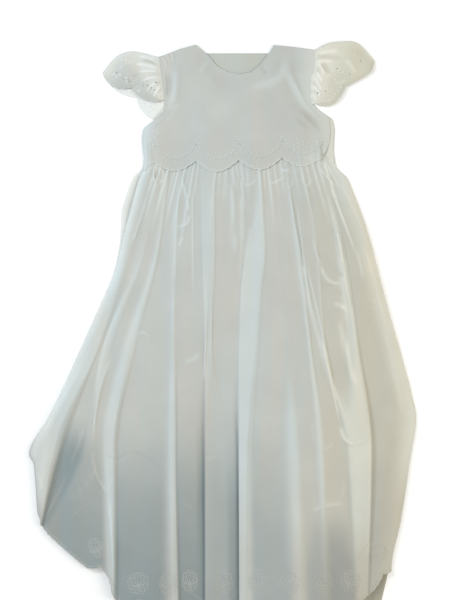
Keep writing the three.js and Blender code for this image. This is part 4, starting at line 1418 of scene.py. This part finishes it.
border_tree = tree_of(bodice_front_mesh)
# The edge cord and the strokes take painted highlight tones; the pin holes are dark knots, painted shade that
# stands for small holes
border_sewing = [
    sewing("border_edge_sewing", border_edges, border_tree, COTTON, "cotton", tone=0.1),
    sewing("border_strokes", border_strokes, border_tree, COTTON, "cotton", tone=0.13),
    sewing("border_pin_hole_shades", border_hole_shades, border_tree, COTTON, "cotton", tone=0.75),
]
# A raised tuck at the border's left end, in a painted highlight tone
edge_tuck = sewing(
    "border_tuck",
    [bent_line(row, TUCK_CORD) for row in EDGE_TUCK],
    skirt_tree,
    COTTON,
    "cotton",
    tone=0.12,
)

# The neck and the armholes are turned in and stitched: a narrow rolled edge, and a fine seam line at the neck
ARMHOLE_TOP, ARMHOLE_END, ARMHOLE_STEPS = 142, 76, 40
SIDE_TOP, SIDE_END, SIDE_STEPS = 70, 16, 30
NECK_STEPS = 60
NECK_EDGE = 0.3
NECK_SEAM = 4.2
ARMHOLE_EDGE = 1.0
SIDE_EDGE = 0.2
ROLLED_CORD = 0.75
ARMHOLE_CORD = 0.6
SEAM_CORD = 0.3


def side_path(side, top, end, steps):
    """Points down a side edge of the bodice."""
    y = np.linspace(top, end, steps)
    return np.stack([side_curve(BODICE_SIDES, side, y), y], axis=1)


neck = np.array([(row["x"], row["y"]) for row in SHOULDERS_AND_NECK if NECK_LEFT <= row["x"] <= NECK_RIGHT])
neck_share = np.linspace(0, len(neck) - 1, NECK_STEPS)
neck = np.stack([np.interp(neck_share, np.arange(len(neck)), neck[:, part]) for part in (0, 1)], axis=1)
# The rolled edges and seam lines take a light painted highlight tone
edge_sewing = sewing(
    "bodice_edges",
    [
        beside(neck, -NECK_EDGE, ROLLED_CORD),
        beside(neck, -NECK_SEAM, SEAM_CORD),
        beside(side_path("left", ARMHOLE_TOP, ARMHOLE_END, ARMHOLE_STEPS), ARMHOLE_EDGE, ARMHOLE_CORD),
        beside(side_path("right", ARMHOLE_TOP, ARMHOLE_END, ARMHOLE_STEPS), -ARMHOLE_EDGE, ARMHOLE_CORD),
        beside(side_path("right", SIDE_TOP, SIDE_END, SIDE_STEPS), -SIDE_EDGE, ROLLED_CORD),
    ],
    tree_of(bodice_front_mesh),
    COTTON,
    "cotton",
    tone=0.2,
)

# Sleeves: each is one piece of eyelet cotton, gathered into the armhole and folded over at the shoulder.
# Its back layer has slipped a little and shows below the front layer's scallops.
SLEEVES = [
    {
        "name": "sleeve_left",
        "side": "left",
        "top": 142,
        "front": 88,
        "back": 81,
        "fold": [(-123.5, 147.5), (-142, 149.5), (-160.5, 142), (-177.5, 122)],
        "front_hem": table("x y bulge", (-104, 84.5, 0), (-140, 103, -7), (-177.5, 122, -10)),
        "back_hem": table("x y bulge", (-177.5, 122, 0), (-133, 90, 8), (-111.5, 61.5, 5)),
        "front_way": -1,
        "shade": 0.55,
        "creases": table(
            "x1 y1 x2 y2 x3 y3 left right height",
            (159, 64, 149, 58, 138, 56, 2.4, 3.2, 1.5),
            (160, 66, 151, 61, 141, 60, 2.4, 3.2, -1.2),
            (160, 68, 148, 65, 133, 64, 3, 4, 1.4),
            (160, 72, 149, 71, 136, 73, 2.6, 3.6, 1.2),
            (161, 76, 150, 78, 139, 83, 2.6, 3.6, 1.4),
            (161, 81, 153, 85, 146, 93, 2.6, 3.4, 1.2),
            (162, 86, 157, 91, 154, 99, 2.4, 3.2, 1.0),
            (160, 60, 153, 55, 146, 53, 2.2, 2.6, 0.9),
            (137, 62, 127, 63, 119, 68, 5, 7, 0.9),
            (143, 72, 134, 78, 128, 85, 5, 6, -1.0),
        ),
        "eyelets": table(
            "x y size through",
            (115.5, 68, 1, 1), (121.5, 67, 1, 1), (111.5, 69.5, 1, 1), (113.5, 73.5, 1, 1),
            (120, 74.5, 1, 1), (116.5, 76.5, 1, 1), (126.5, 77.5, 1, 1), (131.5, 77.5, 1, 1),
            (126.5, 81.3, 1, 1), (121.5, 59.5, 0.7, 1), (126, 60, 0.7, 1), (145.5, 81.7, 1, 1),
            (148, 89.5, 0.9, 1), (151.5, 92.5, 0.9, 1), (154.5, 94.5, 0.9, 1), (158.3, 93.5, 0.9, 1),
            (139, 90.5, 0.9, 1), (116.5, 72.4, 0.8, 0), (123, 78.5, 0.8, 0), (129, 81, 0.8, 0),
            (143.3, 85, 0.8, 0), (147.5, 85.5, 0.8, 0), (151, 87.6, 0.8, 0), (154.5, 89.5, 0.8, 0),
            (156, 82, 1, 0), (127.5, 91.6, 0.8, 1), (130.8, 92.6, 0.8, 1), (134, 93, 0.8, 1),
            (143.8, 99.5, 0.8, 1), (144.5, 103, 0.8, 1), (151.5, 106, 0.8, 1), (153, 109, 0.8, 1),
            (149, 111.5, 0.8, 1),
        ),
    },
    {
        "name": "sleeve_right",
        "side": "right",
        "top": 151,
        "front": 82,
        "back": 84,
        "fold": [(116, 160), (135, 162.5), (154, 160.5), (175.5, 139)],
        "front_hem": table(
            "x y bulge", (102.5, 81, 0), (124.5, 83, 3), (138, 104, 1.5), (171.5, 123.5, 1), (175.5, 139, 1)
        ),
        "back_hem": table(
            "x y bulge", (175.5, 139, 0), (167, 123, 3), (137, 107, 2), (122, 85, 3), (103, 83.5, 4)
        ),
        "front_way": 1,
        "shade": 0.2,
        "creases": table(
            "x1 y1 x2 y2 x3 y3 left right height",
            (315, 60, 324, 60, 334, 62, 2.6, 3.4, 1.5),
            (321, 63, 326, 67, 330, 74, 4.5, 4.5, -1.6),
            (315, 63, 321, 66, 325, 76, 2.6, 3.2, 1.4),
            (314, 70, 319, 74, 323, 84, 2.4, 3.2, 1.2),
            (313, 77, 318, 82, 323, 92, 2.4, 3.2, 1.3),
            (312, 84, 317, 89, 321, 98, 2.4, 3.2, 1.1),
            (312, 91, 315, 95, 318, 101, 2.4, 3.0, 0.9),
            (317, 54, 328, 51, 341, 50, 4, 5, 1.1),
            (318, 57, 330, 56, 345, 60, 3, 4, -0.8),
            (344, 58, 352, 66, 356, 76, 6, 7, 0.9),
            (334, 82, 341, 82, 349, 78, 5, 5, 0.7),
        ),
        "eyelets": table(
            "x y size through",
            (334.8, 65.1, 1, 1), (340, 65.5, 1, 1), (345, 67.3, 1, 1), (339.4, 71.3, 1, 1),
            (331, 73.4, 1, 1), (336.4, 74.7, 1, 1), (343.3, 71.8, 0.8, 1), (335.7, 78.8, 0.8, 1),
            (354.6, 55, 0.8, 1), (322.3, 82, 1, 1), (328.5, 85.8, 0.9, 1), (331.7, 88.7, 0.9, 1),
            (329, 92.3, 0.9, 1), (325, 95, 0.9, 1), (321, 95.2, 0.9, 1), (321.7, 90.3, 0.9, 1),
            (335, 93.4, 0.8, 1), (338, 90.6, 0.8, 1), (340.8, 87, 0.8, 1), (333, 96.8, 0.8, 1),
            (329.8, 99.8, 0.8, 1), (326.2, 101, 0.8, 1), (322.7, 100, 0.8, 1), (318.9, 101.6, 0.8, 1),
            (337.2, 68.3, 0.8, 0), (360.7, 60.7, 0.8, 0), (317.8, 92.6, 0.8, 0), (325.6, 90.8, 0.8, 0),
            (350, 74, 0.7, 0), (347, 79, 0.7, 0),
        ),
    },
]
SLEEVE_GATHERS = 11
SLEEVE_COLUMNS = 210
SLEEVE_ROWS = 96
SLEEVE_TUCK = 2.0
EYELET_RADIUS = 0.65
EYELET_CORD = 0.6
LAYER_REACH = 1.0
DARK_EYELET = 1.5
# The sleeves' upper layer sits near the painted lit rim tone
SLEEVE_TONE = 0.1
SLEEVE_PETAL_HEIGHT = 0.7


def pierce(mesh, eyelets):
    """Cuts the round holes of the eyelets, through both layers or the upper one, and rounds their edges."""
    tree = tree_of(mesh)
    form = bmesh.new()
    form.from_mesh(mesh)
    faces = list(form.faces)
    middles = np.array([face.calc_center_median() for face in faces])
    for eyelet in eyelets:
        x, y = from_photo(eyelet["x"], eyelet["y"])
        radius = EYELET_RADIUS * eyelet["size"] * (1 if eyelet["through"] else DARK_EYELET) * MM
        spot = in_frame(x, y, height_below(tree, x, y))
        away = middles - spot
        near = np.hypot(away[:, 0], away[:, 1]) < radius
        if not eyelet["through"]:
            near &= np.abs(away[:, 2]) < LAYER_REACH * MM
        cut = [faces[i] for i in np.flatnonzero(near) if faces[i].is_valid]
        rim = {vertex for face in cut for vertex in face.verts}
        bmesh.ops.delete(form, geom=cut, context="FACES")
        for vertex in rim:
            if vertex.is_valid:
                way = Vector((vertex.co.x - spot[0], vertex.co.y - spot[1])).normalized() * radius
                vertex.co.x, vertex.co.y = spot[0] + way.x, spot[1] + way.y
    form.to_mesh(mesh)
    form.free()


JUST_UNDER_ONE = 0.999999


def catmull_rom(points, share):
    """A smooth path through a few points, read at shares of its length in steps."""
    before = 2 * np.array(points[0]) - points[1]
    after = 2 * np.array(points[-1]) - points[-2]
    padded = np.array([before, *points, after])
    spot = np.clip(share, 0, JUST_UNDER_ONE) * (len(points) - 1)
    i = spot.astype(int)
    t = (spot - i)[:, None]
    a, b, c, d = padded[i], padded[i + 1], padded[i + 2], padded[i + 3]
    return 0.5 * (2 * b + (c - a) * t + (2 * a - 5 * b + 4 * c - d) * t**2 + (3 * b - a - 3 * c + d) * t**3)


# How the front and back layers of a sleeve part at its fold, by shares of the way round its hem
FOLD_SHARE = 0.32
LAYER_SHARE = 0.26
BACK_TONE_FROM = 0.04
# The height: of the layers at the armhole and the hem, what the fullness adds, and where it fills out
LAYER_FLOOR = 0.8
ARMHOLE_LIFT = 0.6
HEM_LIFT = 3.2
FULL_LIFT = 5.0
FULL_SHAPE = 0.8
FULL_FROM = 0.9
FULL_LEAST = 0.06
# The small gathers at the armhole and the flutes at the hem
GATHER_DRIFT = (1.4, 9)
GATHER_LIFT = 0.45
GATHER_START = 8
GATHER_END, GATHER_FADE = 0.5, 0.45
FLUTES = 5
FLUTE_PHASE = 0.6
FLUTE_LIFT = 0.6
FLUTE_FROM, FLUTE_RUN = 0.35, 0.5
SLEEVE_CREASE_FADE = 0.3
SLEEVE_CREASE_START = 6
# The tone: painted highlight on the raised parts, and painted shade near the front hem
GATHERS_RAISED, CREASES_RAISED, RAISED_PAINTED_HIGHLIGHT = 0.3, 0.8, 0.14
SHADE_FROM, SHADE_RUN, SHADE_SHARE = 0.35, 0.5, 0.1


def sleeve_points(sleeve):
    """A function that gives a sleeve's points and their tone by their shares across and down."""
    front = scalloped_edge(sleeve["front_hem"], SLEEVE_PETAL_HEIGHT)
    back = scalloped_edge(sleeve["back_hem"], SLEEVE_PETAL_HEIGHT)
    hem = np.concatenate([front, back[1:]])
    fold_place = (len(front) - 1) / (len(hem) - 1)
    sign = -1 if sleeve["side"] == "left" else 1

    def sewn_to(y):
        return side_curve(BODICE_SIDES, sleeve["side"], y) - sign * SLEEVE_TUCK

    start = (float(sewn_to(np.array([sleeve["top"]]))[0]), sleeve["top"])
    route = [start, *sleeve["fold"]]

    def points(across, down):
        # Across runs from the front underarm over the shoulder on the left sleeve, and back on the right
        place = across if sleeve["side"] == "right" else 1 - across
        numbers = np.linspace(0, 1, len(hem))
        hem_x = np.interp(place, numbers, hem[:, 0])
        hem_y = np.interp(place, numbers, hem[:, 1])
        to_front = place < fold_place
        end = np.where(to_front, sleeve["front"], sleeve["back"])
        share = np.where(to_front, 1 - place / fold_place, (place - fold_place) / (1 - fold_place))
        arm_y = lerp(sleeve["top"], end, share)
        arm_x = sewn_to(arm_y)
        near_fold = swell((place - fold_place) / FOLD_SHARE)
        layer = 1 - smooth((place - fold_place) / LAYER_SHARE + 0.5)
        on_fold = catmull_rom(route, down)
        tip = sleeve["fold"][-1]
        bow_x = on_fold[:, 0] - lerp(start[0], tip[0], down)
        bow_y = on_fold[:, 1] - lerp(start[1], tip[1], down)
        filled = np.minimum(1, place / fold_place / FULL_FROM + FULL_LEAST)
        fullness = np.sin(np.pi / 2 * filled)
        lift = lerp(ARMHOLE_LIFT, HEM_LIFT, down) + FULL_LIFT * np.sin(np.pi * down) ** FULL_SHAPE * fullness
        drift = GATHER_DRIFT[0] * np.sin(GATHER_DRIFT[1] * place)
        gathers = np.cos(2 * np.pi * SLEEVE_GATHERS * place + drift)
        gathers = gathers * smooth(down * GATHER_START) * smooth((GATHER_END - down) / GATHER_FADE)
        flutter = np.cos(2 * np.pi * FLUTES * place + FLUTE_PHASE) * smooth((down - FLUTE_FROM) / FLUTE_RUN)
        x = lerp(arm_x, hem_x, down) + bow_x * near_fold
        y = lerp(arm_y, hem_y, down) + bow_y * near_fold
        creases = crease_height(sleeve["creases"], x, y, SLEEVE_CREASE_FADE)
        creases = creases * smooth(down * SLEEVE_CREASE_START)
        z = LAYER_FLOOR + (lift + GATHER_LIFT * gathers + FLUTE_LIFT * flutter + creases) * layer
        raised = np.clip(GATHERS_RAISED * gathers + CREASES_RAISED * creases, -1, 1)
        shaded = smooth((down - SHADE_FROM) / SHADE_RUN) * smooth((fold_place - place) / SHADE_SHARE)
        upper = lerp(SLEEVE_TONE, sleeve["shade"], shaded) - RAISED_PAINTED_HIGHLIGHT * raised
        # The back layer takes the painted lit rim colour
        return x, y, z, np.where(place > fold_place + BACK_TONE_FROM, PAINTED_RIM_LIGHT_TONE, upper)

    return points


# Lit and shaded copies of one white: painted lit rim, painted highlight, flat and painted shade
EYELET_COTTON = cotton(
    "eyelet_cotton",
    [(0.80, 0.81, 0.79), (0.65, 0.655, 0.605), (0.57, 0.575, 0.54), (0.42, 0.455, 0.455)],
    sheen=0.3,
)
SLEEVE_THICKNESS = 0.4
SLEEVE_STITCH, SLEEVE_LINE = 0.3, 3.0
SLEEVE_CORD, SLEEVE_BACK_CORD, SLEEVE_LINE_CORD = 0.6, 0.5, 0.35
RING_STEPS = 12
for sleeve in SLEEVES:
    cloth_name = sleeve["name"] + "_cloth"
    mesh = sheet_mesh(cloth_name, SLEEVE_COLUMNS, SLEEVE_ROWS, sleeve_points(sleeve))
    whole_tree = tree_of(mesh)
    pierce(mesh, sleeve["eyelets"])
    piece = cloth_piece(cloth_name, mesh, EYELET_COTTON, sleeve["name"], SLEEVE_THICKNESS)
    rings = []
    for eyelet in sleeve["eyelets"]:
        open_share = 1 if eyelet["through"] else DARK_EYELET
        width = 2 * EYELET_RADIUS * eyelet["size"] * open_share + EYELET_CORD / open_share
        cord = EYELET_CORD / open_share**2
        rings.append(ring(*from_photo(eyelet["x"], eyelet["y"]), width, width, cord, RING_STEPS))
    way = sleeve["front_way"]
    front = scalloped_edge(sleeve["front_hem"], SLEEVE_PETAL_HEIGHT)
    back = scalloped_edge(sleeve["back_hem"], SLEEVE_PETAL_HEIGHT)
    front_lines = [
        beside(front, SLEEVE_STITCH * way, SLEEVE_CORD),
        beside(front, SLEEVE_LINE * way, SLEEVE_LINE_CORD),
    ]
    back_lines = [beside(back, -SLEEVE_STITCH * way, SLEEVE_BACK_CORD)]
    thread = (whole_tree, EYELET_COTTON, "eyelet")
    # The eyelet rings and the back hem line take the painted lit rim colour, painted light that stands for
    # light through the holes
    sewn = [
        sewing(sleeve["name"] + "_eyelet_rings", rings, *thread, tone=0.0),
        sewing(sleeve["name"] + "_front_hem", front_lines, *thread, tone=0.3),
        sewing(sleeve["name"] + "_back_hem", back_lines, *thread, tone=0.05, lowest=True),
    ]
